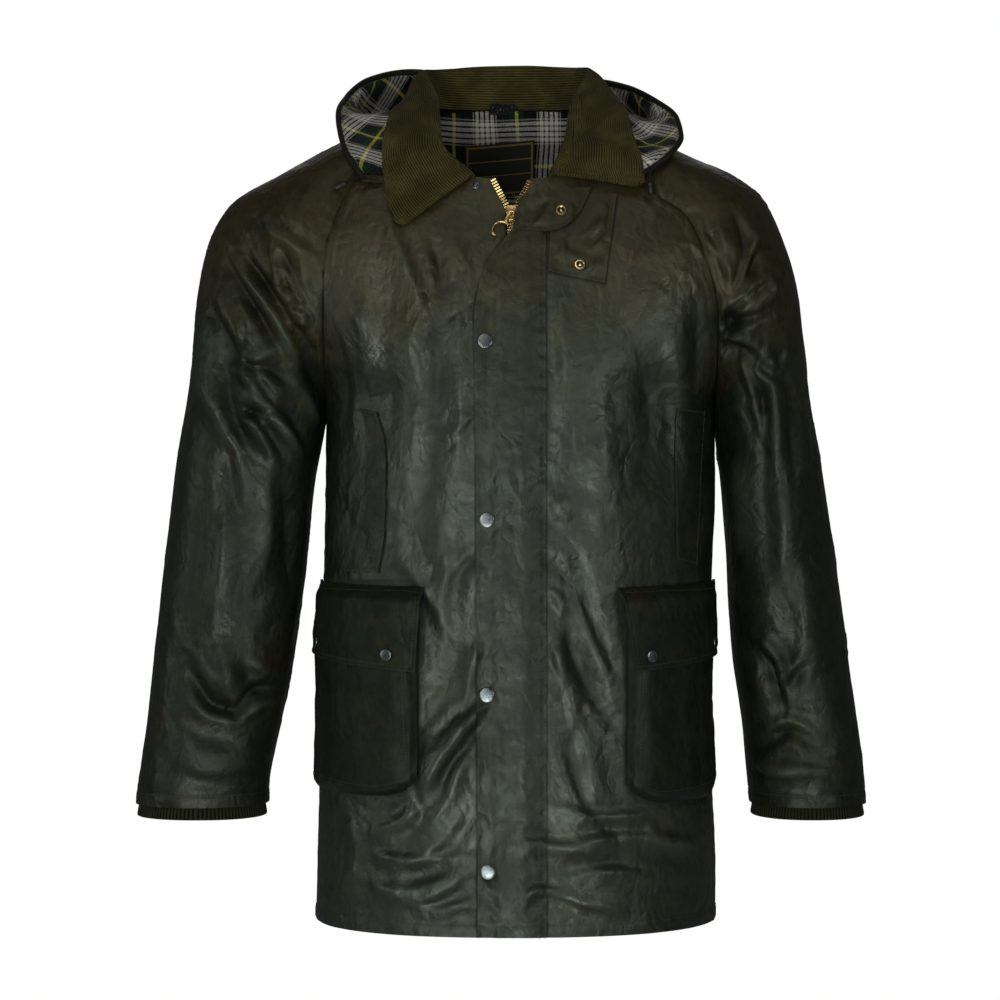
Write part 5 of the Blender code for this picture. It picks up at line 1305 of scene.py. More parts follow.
def flecked(name):
    """A dark woven tape with a few pale flecks."""
    f = Finish(name, .8, Specular_IOR_Level=.2)
    flecks = f.spread(f.noise(.0019, 2, .5, stretch=(1, 1, .8)), .60, .68, 0, .75)
    return f.finish(f.mix(flecks, rgb(16, 16, 16), rgb(116, 116, 112)))


def moulded(name, colour, rough):
    f = Finish(name, rough)
    marks = f.noise(.002, 3)
    return f.finish(f.mix(f.spread(marks, .4, .8, 0, .5), colour, tuple(v * .4 for v in colour[:3]) + (1,)),
                    None, f.bump(marks, .0001, .3))


def finishes():
    return {
        "waxed_cotton": waxed_cotton("waxed_cotton"),
        # Copies of one waxed cotton, as painted light and shade for how the lamps fall on each part: the
        # body's is lighter and glossier, the flap's glossier, and the pockets' darker and less glossy than
        # the sleeves' and hood's.
        "body_cotton": waxed_cotton("body_cotton", 1.0, 1.0, 0, .80),
        "flap_cotton": waxed_cotton("flap_cotton", .95, .9, .02, .58),
        "pocket_cotton": waxed_cotton("pocket_cotton", .85, .6, .14, .26),
        "corduroy": corduroy(),
        "rib_knit": rib_knit(),
        "tartan_lining": tartan(),
        "label_cloth": label_cloth(),
        "loop_cloth": flecked("loop_cloth"),
        "tape": plain_cloth("tape", rgb(30, 33, 24), rgb(18, 20, 14), .0012),
        "binding": plain_cloth("binding", rgb(34, 36, 26), rgb(18, 20, 13), .0016, .6),
        "thread": plain_cloth("thread", rgb(84, 84, 56), rgb(52, 53, 34), .0006, .7),
        "pale_thread": plain_cloth("pale_thread", rgb(170, 166, 140), rgb(120, 116, 92), .0006, .7),
        "cord": plain_cloth("cord", rgb(26, 24, 18), rgb(14, 13, 9), .0010),
        "brass": metal("brass", (.86, .64, .28, 1), (.42, .28, .10, 1), .22),
        "bright_brass": metal("bright_brass", (.95, .80, .50, 1), (.70, .52, .28, 1), .18),
        "black_metal": metal("black_metal", (.03, .03, .03, 1), (.02, .02, .02, 1), .4),
        "gunmetal": metal("gunmetal", (.17, .19, .19, 1), (.09, .105, .105, 1), .30),
        "toggle_brown": moulded("toggle_brown", rgb(34, 26, 17), .55),
        "toggle_black": moulded("toggle_black", rgb(22, 22, 22), .55),
    }


# ---- collar ----
WALE_PITCH = .0027
WALE_HIGH = .0008
COLLAR_FINE = (312, 216)     # rows across the wales, columns along them
COLLAR_STITCH = .0045


def section_grid(point, stations, ts):
    """A grid whose columns are the stations, each read at every t."""
    return np.stack([point(s, ts) for s in stations], axis=1)


def even_ts(point, stations, count):
    """t values that space the rows of a section grid evenly."""
    ts = np.linspace(0, 1, count * 2 + 1)
    down = lengths(section_grid(point, stations, ts), 0).mean(axis=1)
    return np.interp(np.linspace(0, down[-1], count + 1), down, ts)


def through(places, knots, ts):
    return stack(*(smooth(places, knots[:, axis], ts) for axis in range(3)))


def collar_point(s, ts):
    """t runs 0 at the neck seam, .46 at the roll, 1 at the free edge."""
    seam = COLLAR.point("seam_x seam_y seam_z", s)
    roll = COLLAR.point("roll_x roll_y roll_z", s)
    edge = COLLAR.point("edge_x edge_y edge_z", s)
    away = unit((edge - seam) * [1, 1, 0])
    end = min(s, 14 - s)
    lift = COLLAR_ROLL * min(1, end / 2 + .35)
    inside, outside = roll - away * lift * .2, roll + away * lift * 1.8
    under = outside * .75 + edge * .25 + np.array([0, 0, .004]) * min(1, end)
    knots = np.array([seam, seam * .45 + inside * .55, roll - [0, 0, lift * .6], roll + away * lift * .8,
                      outside - [0, 0, lift * .5], under, edge])
    return through(COLLAR_PLACES, knots, ts)


def build_collar():
    """The wales run round the neck, so they lie along the stand and near upright on the leaves."""
    rows, cols = COLLAR_FINE
    stations = np.linspace(0, 14, cols + 1)
    base = section_grid(collar_point, stations, even_ts(collar_point, stations[::12], rows))
    round_corner(base, True, False, .012)
    round_corner(base, True, True, .010)
    cloth = Cloth(base)
    edge = np.minimum(cloth.edge_distance(), cloth.down[-1:] - cloth.down)
    wale = np.abs(np.cos(np.pi * (cloth.down + waves(cloth.base, .05) * .0012) / WALE_PITCH)) ** .8
    soft = waves(cloth.base, .042, 3) * .0016 * ease(0, .02, cloth.down) * ease(0, .02, edge)
    groove = -.0005 * np.exp(-((edge - COLLAR_STITCH) / .0011) ** 2)
    rolled = -.0009 * np.exp(-(edge / .0012) ** 2)
    cloth.relief = wale * WALE_HIGH + soft + groove + rolled - WALE_HIGH
    cloth.tone = wale
    cloth.piece("collar_cloth", "corduroy", "collar", "corduroy", "folded", COLLAR_WALL)
    half = cloth.base.shape[0] // 2
    SEWING.across(cloth, COLLAR_STITCH)
    SEWING.both(cloth, COLLAR_STITCH, slice(half, -3))


# ---- hood ----
HOOD_FINE = (102, 204)
HOOD_BINDING = .0065
HOOD_BIAS = math.radians(33)
HOOD_BOUND = .0029         # radius of the bound rim
FOLD_ROWS = 5              # the room at a row is the least within this many rows of it
LINING_SHARE = .4          # of the room across the pouch, where the lining lies
NARROW_FOLD = (.026, .012)  # the lining is smoothed where the room falls from the first to the second
LINING_PASSES = 30


def hood_point(s, ts):
    """t runs 0 at the rim, .5 at the bottom of the pouch, 1 at the neck."""
    rim_at = HOOD.point("rim_x rim_y rim_z", s)
    neck = HOOD.point("neck_x neck_y neck_z", s)
    deep, out, near = HOOD.at("deep", s), HOOD.at("out", s), HOOD.at("near", s)
    away = unit(rim_at * [1, 1, 0])
    hang = np.array([0, 0, -1.0])
    bottom = (rim_at * .45 + neck * .55) + hang * deep + away * near * 1.2
    outer = rim_at * .8 + neck * .2 + hang * deep * .55 + away * out
    inner = neck * .85 + rim_at * .15 + hang * deep * .5 + away * near
    return through(HOOD_PLACES, np.array([rim_at, outer, bottom, inner, neck]), ts)


def room_across(points, normals):
    """Metres from each point of a folded shell to the wall that faces it, section by section."""
    room = np.full(points.shape[:2], 1.0)
    for j in range(points.shape[1]):
        apart = np.linalg.norm(points[:, j, None] - points[None, :, j], axis=-1)
        facing = normals[:, j] @ normals[:, j].T
        room[:, j] = np.where(facing < -.1, apart, 1.0).min(axis=1)
    return np.minimum.reduce([np.roll(room, k, axis=0) for k in range(-FOLD_ROWS, FOLD_ROWS + 1)])


def build_hood():
    """The pouch of waxed cotton with a bound rim, and the tartan on the bias inside it."""
    rows, cols = HOOD_FINE
    stations = np.linspace(0, 13, cols + 1)
    ts = even_ts(hood_point, stations[::12], rows)
    shell = Cloth(section_grid(hood_point, stations, ts))
    crumpled, lines = crumple(shell.base, 40)
    drape = np.sin(shell.along / .021 + waves(shell.base, .09, 2) * 3) * .0022
    deep = ease(.02, .08, shell.down) * ease(0, .05, shell.edge_distance())
    last = ease(0, .04, shell.down[-1:] - shell.down)
    shell.relief = (crumpled + drape * deep) * last * ease(.004, .02, shell.down)
    shell.relief += .0007 * ease(HOOD_BINDING + .001, HOOD_BINDING - .0005, shell.down)
    shell.tone = lines * .5
    shell.piece("hood_cloth", "waxed_cotton", "hood_shell", "waxed_cotton", "hung", HOOD_WALL)

    room = room_across(shell.surface(), shell.normals)
    least = HOOD_WALL + HOOD_LINING + .0002
    gap = np.clip(room * LINING_SHARE, least, HOOD_WALL + HOOD_LINING_GAP + HOOD_LINING)
    inside = shell.surface() - shell.normals * gap[..., None]
    lined = inside[:-COARSE, COARSE:-COARSE].copy()
    narrow = ease(*NARROW_FOLD, room)[:-COARSE, COARSE:-COARSE, None][1:-1]
    for _ in range(LINING_PASSES):
        lined[1:-1] += narrow * .25 * (lined[:-2] + lined[2:] - 2 * lined[1:-1])
    lined[0] = lined[0] * .6 + lined[1] * .4
    lining = Cloth(lined, flip=True)
    soft = waves(lining.base, .040, 11) * .0030 + waves(lining.base, .018, 12) * .0006
    inner = ease(0, .012, lining.down) * ease(0, .012, lining.edge_distance())
    spare = np.clip(room * LINING_SHARE - gap, 0, 1)[:-COARSE, COARSE:-COARSE]
    lining.relief = np.minimum(np.clip(soft, -.0016, None) + .0018, spare) * inner
    turn, tilt = math.cos(HOOD_BIAS), math.sin(HOOD_BIAS)
    u = lining.along[lining.along.shape[0] // 5][None, :] + soft
    v = -lining.down + soft
    lining.piece("hood_tartan", "tartan_lining", "hood_lining", "tartan_lining", "laid", HOOD_LINING,
                 stack(u * turn - v * tilt, u * tilt + v * turn))
    PALE_SEWING.across(lining, .0042, low=False)
    rim_line = shell.base[1] - shell.normals[1] * (HOOD_BOUND - .0006)
    join("hood_binding", [tube(rim_line, HOOD_BOUND)], "binding", ())


# ---- cuffs ----
CUFF_RIBS = 108
RIB_STEPS = 6
RIB_HIGH = .0006


def build_cuffs():
    """Ribbed knit cuffs just inside the sleeve hems."""
    rows = np.linspace(0, 1, 13)
    for side, word in WORDS.items():
        turns = np.linspace(0, 1, CUFF_RIBS * RIB_STEPS + 1)
        v = CUFF_TOP + (2 - CUFF_TOP) * np.minimum(1, rows / CUFF_HIDDEN)
        turn, v = np.meshgrid(turns, v)
        points = sleeve_point(side, turn % 1, v)
        middle = (sleeve_point(side, 0 * turn, v) + sleeve_point(side, 0 * turn + .5, v)) / 2
        drop = CUFF_BELOW * np.clip((rows - CUFF_HIDDEN) / (1 - CUFF_HIDDEN), 0, 1)[:, None]
        inset = CUFF_INSET - CUFF_FLARE * drop / CUFF_BELOW
        points = points - unit(points - middle) * inset[..., None] - stack(0, 0, drop)
        cloth = Cloth(points, side == LEFT, 0)
        rib = .5 + .5 * np.cos(2 * np.pi * turn * CUFF_RIBS)
        cloth.relief = RIB_HIGH * (rib ** .8 - .6)
        cloth.relief[-1] -= .0005
        cloth.tone = rib
        cloth.piece("cuff_knit_" + word, "rib_knit", "cuff_" + word, "rib_knit", "stretched", CUFF_WALL)


# ---- inside the neck ----
LINING_DOWN = .5           # share of the way down to the armpit that the lining reaches
NECK_TURN = .0042          # the lining reaches this far up over the neck seam
SETT_AT = (.0063, -.0193)  # x of an upright yellow line and z of a level white one
LINING_DEEP = CLOTH + INSIDE_GAP + THIN + .0006
LABEL_FINE = (18, 24)
LOOP_FINE = (6, 18)


def find_back(x, z):
    """Places on the smooth back panel at x and z in the front view."""
    side = np.where(x < 0, -1.0, 1.0)

    def surface(u, v):
        right, left = back_half(RIGHT, u, v), back_half(LEFT, u, v)
        return right * (side < 0)[..., None] + left * (side > 0)[..., None]

    first = np.abs(x) / .13, np.clip(-z / .23, .05, .9)
    return surface(*find_place(surface, x, z, *first, ((0, .95), (0, .95))))


def build_inside():
    """The tartan lining inside the back neck, the bordered label on it and the loop above."""
    back = PANELS.cloth["back"]
    last = int(UPPER_ROWS * LINING_DOWN) // COARSE * COARSE
    edge = COARSE * 4
    inside = (back.base - back.normals * LINING_DEEP)[:last + 1, edge:-edge]
    above = inside[:1] + stack(0, 0, np.linspace(NECK_TURN, 0, COARSE, endpoint=False))[:, None]
    lining = Cloth(np.concatenate([above, inside]), flip=True)
    lining.relief = (waves(lining.base, .03, 60) + 1) * .0007 * ease(0, .01, lining.down)
    half_sett = TARTAN_SETT / 2
    x, z = lining.base[..., 0] - SETT_AT[0], lining.base[..., 2] - SETT_AT[1] + half_sett
    wavy = waves(lining.base, .05, 61) * .002
    lining.piece("neck_tartan", "tartan_lining", "lining_back", "tartan_lining", "laid", THIN,
                 stack(x + wavy, z + wavy))

    rows, cols = LABEL_FINE
    s, t = np.meshgrid(np.linspace(0, 1, cols + 1), np.linspace(0, 1, rows + 1))
    x = LABEL["left"] + (LABEL["right"] - LABEL["left"]) * s
    z = LABEL["top"] + (LABEL["bottom"] - LABEL["top"]) * t + LABEL["slope"] * x
    place = find_back(x, z) - [0, LINING_DEEP + LAY + LABEL_WALL + .0018, 0]
    label = Cloth(place, flip=True)
    label.relief = waves(place, .02, 70) * .0006
    label.piece("neck_label", "label_cloth", "label", "label_cloth", "laid", LABEL_WALL, stack(s, 1 - t))

    rows, cols = LOOP_FINE
    x, z = np.meshgrid(np.linspace(LOOP["left"], LOOP["right"], cols + 1),
                       np.linspace(*LOOP["tops"], rows + 1))
    loop = Cloth(stack(x, LOOP["y"] - LOOP["curve"] * x * x, z), flip=True)
    loop.relief = waves(loop.base, .012, 80) * .0005
    loop.piece("neck_loop", "loop_cloth", "hanger_loop", "label_cloth", "laid", LOOP["wall"])


# ---- pieces laid on the fronts ----
def mesh_of(rows, cols):
    """Shares across and down of a grid with that many steps, each made a multiple of the coarse step."""
    rows, cols = (round(n / COARSE) * COARSE for n in (rows, cols))
    return np.meshgrid(np.linspace(0, 1, cols + 1), np.linspace(0, 1, rows + 1))


def between(corners, s, t):
    """x and z inside four corners, given as top a, top b, low b, low a."""
    (ax, az), (bx, bz), (cx, cz), (dx, dz) = corners
    x = (ax * (1 - s) + bx * s) * (1 - t) + (dx * (1 - s) + cx * s) * t
    z = (az * (1 - s) + bz * s) * (1 - t) + (dz * (1 - s) + cz * s) * t
    return x, z


def edges_of(cloth):
    """Metres from the left, right, top and bottom edges."""
    return (cloth.along, cloth.along[:, -1:] - cloth.along, cloth.down, cloth.down[-1:] - cloth.down)


def pale_edge(away):
    """Tone at a free edge, paler along its fold."""
    return .55 * np.exp(-(away / .0016) ** 2)


def stitch_dip(away, inset):
    """The dip under a row of stitches, and the swell of the turned edge outside it."""
    return -.0005 * np.exp(-((away - inset) / .0014) ** 2) + .0003 * ease(inset, inset - .001, away)


def flatten_at(cloth, spots, radius):
    """Presses the relief flat under the press studs."""
    for x, z in spots:
        away = np.hypot(cloth.base[..., 0] - x, cloth.base[..., 2] - z)
        cloth.relief *= 1 - np.exp(-(away / radius) ** 4)


def flap_bow(s):
    """How far the flap stands off the front, from its free edge at 0 to its sewn edge at 1."""
    return LAY + FLAP_CROWN * np.sin(np.pi * np.minimum(1, (1 - s) * 1.2))


def build_flap():
    """The storm flap, puckered along its double row of sewing and lifting a little between the studs."""
    s, t = mesh_of(252, 27)
    down = FLAP_HIGH + (-HEM_Z - .0006 - FLAP_HIGH) * t
    free, sewn = FLAP_EDGE.at("free_x", down), FLAP_EDGE.at("sewn_x", down)
    cloth = Cloth(on_fronts(free * (1 - s) + sewn * s, -down, flap_bow(s) + FLAP_WALL), flip=True)
    left, right, _, low = edges_of(cloth)
    crumpled, lines = crumple(cloth.base, 90)
    pucker = .0017 * waves(cloth.base, (.022, .02, .0075), 91) * np.exp(-(right / .010) ** 2)
    ladder = waves(cloth.base, (.03, .03, .0060), 92) * np.exp(-((right - .0050) / .0034) ** 2)
    sag = sum(np.exp(-((-down - z) / .035) ** 2) for _, z in FRONT_SNAPS)
    cloth.relief = crumpled * .8 + pucker + .0008 * ladder + stitch_dip(right, FLAP_STITCHES[0])
    cloth.relief += stitch_dip(left, FREE_STITCH)
    cloth.relief += .0016 * np.clip(1 - sag, 0, 1) * np.exp(-left / .02) + turned_hem(low, cloth.base)
    flatten_at(cloth, FRONT_SNAPS, .011)
    # The puckers' ridges are painted paler and their dips darker, as painted light and shade; a darker line
    # runs between the two rows of sewing.
    cloth.tone = lines * .5 + pale_edge(left) + .9 * ladder - .35 * np.exp(-((right - .0045) / .0014) ** 2)
    cloth.piece("storm_flap_cloth", "flap_cotton", "storm_flap", "waxed_cotton", "hung", FLAP_WALL)
    for inset in FLAP_STITCHES:
        SEWING.down(cloth, inset, slice(12, None), right=True)
    SEWING.down(cloth, FREE_STITCH, slice(0, -2))


def build_throat():
    """The tab that hangs under the collar, and the flap's top corner folded back over it."""
    s, t = mesh_of(39, 30)
    x, z = between(TAB, s, t)
    rise = LAY + TAB_WALL + TAB_CROWN * np.sin(np.pi * s) * np.sin(np.pi * t)
    tab = Cloth(on_fronts(x, z, rise), flip=True)
    left, right, _, low = edges_of(tab)
    edge = np.minimum(np.minimum(left, right), low)
    crumpled, lines = crumple(tab.base, 110)
    pucker = .0009 * (waves(tab.base, .013, 111) + .4) * np.exp(-((edge - .008) / .010) ** 2)
    tab.relief = crumpled * .8 + pucker + stitch_dip(edge, EDGE_STITCH)
    tab.relief += THROAT_HIGHER * crease_height(TAB_CREASES, tab.base)
    flatten_at(tab, [TAB_SOCKET], .009)
    tab.tone = lines * .6 + pale_edge(edge)
    tab.piece("throat_tab_cloth", "flap_cotton", "throat_tab", "waxed_cotton", "hung", TAB_WALL)
    SEWING.both(tab, EDGE_STITCH, slice(0, -2))
    SEWING.across(tab, EDGE_STITCH, slice(2, -2))

    s, t = mesh_of(24, 36)
    top, low_line = catmull(TURNBACK_TOP, s.shape[1] - 1), catmull(TURNBACK_LOW, s.shape[1] - 1)
    x, z = (top[:, axis] * (1 - t) + low_line[:, axis] * t for axis in (0, 1))
    edge = ZIP_HALF + SEAM * 2
    lift = TURNBACK_LIFT + TURNBACK_CROWN * np.sin(np.pi * s)
    points = on_fronts(np.maximum(x, edge), z, lift) + stack(np.minimum(0, x - edge), 0, 0)
    fold = Cloth(points, flip=True)
    left, right, _, low = edges_of(fold)
    crumpled, lines = crumple(fold.base, 120)
    fold.relief = crumpled + stitch_dip(np.minimum(low, right), EDGE_STITCH) + .0014 * np.exp(-left / .004)
    fold.relief += THROAT_HIGHER * crease_height(TURNBACK_CREASES, fold.base)
    flatten_at(fold, [TURNBACK_SOCKET], .008)
    fold.tone = lines * .6 + pale_edge(np.minimum(low, right))
    fold.piece("flap_corner_cloth", "flap_cotton", "flap_turnback", "waxed_cotton", "folded", TURNBACK_WALL)
    SEWING.across(fold, EDGE_STITCH, slice(1, -4))


WELT_STITCH = .0016


def build_welts():
    for side, word in WORDS.items():
        s, _ = mesh_of(63, 9)
        first, last = (catmull(line, s.shape[0] - 1)[:, None] for line in WELT_LINES[side])
        x, z = (first[..., axis] * (1 - s) + last[..., axis] * s for axis in (0, 1))
        cloth = Cloth(on_fronts(x, z, LAY + WELT_WALL), flip=True)
        left, right, top, low = edges_of(cloth)
        crumpled, lines = crumple(cloth.base, 130)
        edge = np.minimum(np.minimum(left, right), np.minimum(top, low))
        cloth.relief = crumpled * .3 + stitch_dip(edge, WELT_STITCH) + .0002 * waves(cloth.base, .010, 131)
        cloth.tone = lines * .4 + pale_edge(edge)
        cloth.piece("welt_cloth_" + word, "waxed_cotton", "welt_" + word, "waxed_cotton", "laid", WELT_WALL)
        SEWING.both(cloth, WELT_STITCH)
        SEWING.across(cloth, WELT_STITCH, low=False)
        SEWING.across(cloth, WELT_STITCH)


# ---- bellows pockets ----
POCKET_STITCH = .0035
FLAP_TOP_STITCH = .0075
GUSSET_DEEP = .016         # width of the bellows, from the bag's edge to its crest


def pocket_rise(side, s):
    """Height of the bag above the panel across its width; its bellows are shallower at the side seam."""
    edge = np.minimum(s, 1 - s)
    return POCKET_DEEP * (1 - POCKET[side]["taper"] * s) * np.minimum(1, edge / GUSSET) ** .5


def flap_rise(side, s):
    """Height of the pocket flap's underside above the panel, clear of the bag."""
    return POCKET_DEEP * (1 - POCKET[side]["taper"] * s) + POCKET_WALL + FLAP_CLEAR


def flap_press(s, t):
    """The flap lies down on the side seam, less so at its hem."""
    return 1 - ease(.75, 1, s) * (1 - .9 * t)


def corner_rise(away, radius):
    """How far a rounded corner lifts the bottom edge, this far from the side edge."""
    return radius - np.sqrt(np.maximum(0, radius ** 2 - np.maximum(0, radius - away) ** 2))


def place_across(side, near_x, far_u, z, s):
    """u and v at a share of the width from the near edge to a column of the panel."""
    u, v = find_front(side, side * near_x, z)
    return u + (far_u - u) * s, v


def build_pocket(side, word):
    """The bellows bag with its edge stitching, and the flap over it, pressed flat under its two studs."""
    p = POCKET[side]
    s, t = mesh_of(63, 54)
    s = .5 - .5 * np.cos(np.pi * s) * (1 - .35 * np.sin(np.pi * s) ** 2)
    wide = POCKET_END - p["near"]
    bottom = p["bottom"] + corner_rise(s * wide, BAG_CORNER) + corner_rise((1 - s) * wide, p["far_corner"])
    z = p["top"] + (bottom - p["top"]) * t
    full = smooth(*np.array(BAG_ROWS).T, t)
    u, v = place_across(side, p["near"], p["far"], z, s)
    bag = Cloth(on_front(side, u, v, LAY + POCKET_WALL + pocket_rise(side, s) * full), side == LEFT)
    near, far, _, low = edges_of(bag)
    crumpled, lines = crumple(bag.base, 140)
    inner = ease(0, .012, near) * ease(0, .012, far) * ease(0, .012, low)
    slump = .0022 * waves(bag.base, (.030, .03, .11), 141) * inner
    side_line, low_line = GUSSET_DEEP + POCKET_STITCH, GUSSET_DEEP * .75 + POCKET_STITCH
    bag.relief = (crumpled * .8 + slump) * inner + stitch_dip(near, side_line) + stitch_dip(low, low_line)
    bag.relief -= .0012 * np.exp(-((near - GUSSET_DEEP * .45) / .0035) ** 2)
    bag.tone = lines * .45 + pale_edge(np.abs(near - GUSSET_DEEP))
    bag.tone += pale_edge(np.abs(low - GUSSET_DEEP * .75))
    bag.piece("pocket_cloth_" + word, "pocket_cotton", "pocket_" + word, "waxed_cotton", "hung", POCKET_WALL)
    SEWING.down(bag, side_line, slice(20, -7))
    SEWING.across(bag, low_line, slice(8, -2))

    s, t = mesh_of(33, 54)
    near_x = p["flap_near"] * (1 - t) + p["flap_low_near"] * t
    z = p["flap_top"] + (p["flap_low"] - p["flap_top"]) * t + (.7 + .3 * t) * FLAP_TILT * (s - .5)
    u, v = place_across(side, near_x, FLAP_FAR, z, s)
    full = smooth(*np.array(FLAP_ROWS).T, t)
    lift = flap_rise(side, s) * full * flap_press(s, t)
    flap = Cloth(on_front(side, u, v, LAY + FLAP_DEEP + lift), side == LEFT)
    near, far, top, low = edges_of(flap)
    crumpled, lines = crumple(flap.base, 150)
    edge = np.minimum(np.minimum(near, far), low)
    flap.relief = crumpled * .7 + stitch_dip(edge, EDGE_STITCH) + stitch_dip(top, FLAP_TOP_STITCH)
    flap.relief += .0015 * waves(flap.base, (.045, .04, .03), 151) * ease(0, .02, low)
    flatten_at(flap, [(side * x, z) for x, z in p["snaps"]], .010)
    flap.tone = lines * .45 + pale_edge(edge)
    flap.piece("pocket_flap_cloth_" + word, "pocket_cotton", "pocket_flap_" + word, "waxed_cotton", "hung",
               FLAP_DEEP)
    SEWING.across(flap, EDGE_STITCH, slice(2, -2))
    SEWING.down(flap, EDGE_STITCH, slice(4, -2))
    SEWING.across(flap, FLAP_TOP_STITCH, slice(1, -1), low=False)


# ---- metal and moulded pieces ----
def turned(centre, normal, profile, sides=40):
    """A turned shape: profile is radius and height from its seat, on the centre line at both ends."""
    normal = unit(normal)
    side = unit(np.cross((0, 0, 1) if abs(normal[2]) < .9 else (1, 0, 0), normal))
    up = np.cross(normal, side)
    angle = np.arange(sides) * 2 * np.pi / sides
    spokes = np.cos(angle)[:, None] * side + np.sin(angle)[:, None] * up
    rings = [centre + normal * high + spokes * radius for radius, high in profile[1:-1]]
    points = np.vstack([centre + normal * profile[0][1], *rings, centre + normal * profile[-1][1]])
    faces = []
    last = len(points) - 1
    for k in range(sides):
        n = (k + 1) % sides
        faces.append([0, 1 + n, 1 + k])
        for r in range(len(rings) - 1):
            low, high = 1 + r * sides, 1 + (r + 1) * sides
            faces.append([low + k, low + n, high + n, high + k])
        top = 1 + (len(rings) - 1) * sides
        faces.append([top + k, top + n, last])
    return points, faces


def tube(line, radius, sides=12):
    """A round bar along a line, with closed ends; radius may be one for each point."""
    line = np.asarray(line, float)
    radius = np.broadcast_to(radius, len(line))
    way = unit(np.gradient(line, axis=0))
    side = unit(np.cross(way[0], (0, 0, 1) if abs(way[0][2]) < .9 else (1, 0, 0)))
    angle = np.arange(sides) * 2 * np.pi / sides
    points = []
    for point, along, r in zip(line, way, radius):
        side = unit(side - along * np.dot(side, along))
        up = np.cross(along, side)
        points.append(point + r * (np.cos(angle)[:, None] * side + np.sin(angle)[:, None] * up))
    ids = np.arange(len(line) * sides).reshape(len(line), sides)
    closed = np.concatenate([ids, ids[:, :1]], axis=1)
    faces = grid_faces(closed)[:, ::-1].tolist() + [ids[0].tolist(), ids[-1][::-1].tolist()]
    return np.vstack(points), [face[::-1] for face in faces]


def plate(centre, axes, outline, thick, bevel=.0003):
    """A flat plate with its outline given along the first two axes, its long edges bevelled."""
    work = bmesh.new()
    flat = [work.verts.new(centre + axes[0] * x + axes[1] * y - axes[2] * thick / 2) for x, y in outline]
    face = work.faces.new(flat)
    raised = bmesh.ops.extrude_face_region(work, geom=[face])
    moved = [v for v in raised["geom"] if isinstance(v, bmesh.types.BMVert)]
    bmesh.ops.translate(work, vec=Vector(axes[2] * thick), verts=moved)
    bmesh.ops.bevel(work, geom=work.edges[:], offset=bevel, segments=2, affect="EDGES", profile=.5)
    bmesh.ops.recalc_face_normals(work, faces=work.faces[:])
    work.verts.index_update()
    points = np.array([v.co[:] for v in work.verts])
    faces = [[v.index for v in f.verts] for f in work.faces]
    work.free()
    return points, faces


def join(name, shapes, finish, nodes, body="jacket"):
    """One piece from several shapes, standing for the named solids."""
    points, faces, start = [], [], 0
    for shape_points, shape_faces in shapes:
        points.append(shape_points)
        faces += [[k + start for k in face] for face in shape_faces]
        start += len(shape_points)
    item = make(name, np.vstack(points), faces, FINISHES[finish])
    work = bmesh.new()
    work.from_mesh(item.data)
    bmesh.ops.recalc_face_normals(work, faces=work.faces[:])
    work.to_mesh(item.data)
    work.free()
    item.data.shade_smooth()
    item.data.set_sharp_from_angle(angle=math.radians(METAL_SHARP))
    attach(item, body)
    if nodes:
        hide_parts(*nodes)
    return item


# radius as a share of the stud's own, and height as a share of its own, from the seat up
CAP = [(0, 0), (.92, 0), (1, .22), (1, .45), (.96, .62), (.88, .70), (.70, .75), (.40, .79), (0, .81)]
SOCKET = [(0, 0), (.92, 0), (1, .3), (1, .7), (.90, 1), (.74, 1.02), (.62, .82), (.58, .30), (0, .28)]
CUP = [(0, .30), (.57, .30), (.57, .38), (0, .40)]
PIN = [(0, .41), (.24, .41), (.24, .60), (.14, .72), (0, .74)]
STUD = [(0, 0), (.9, 0), (1, .2), (.95, .42), (.55, .50), (.44, .62), (.42, 1.1), (.50, 1.3), (.40, 1.5),
        (0, 1.55)]


def stud(spot, lift, radius, profile):
    """A press-stud half on the fronts at x and z."""
    x, z = np.array([spot[0]]), np.array([spot[1]])
    seat, above = on_fronts(x, z, lift)[0], on_fronts(x, z, lift + .01)[0]
    shape = [(r * radius, h * SNAP_HIGH) for r, h in profile]
    return turned(seat, above - seat, shape)


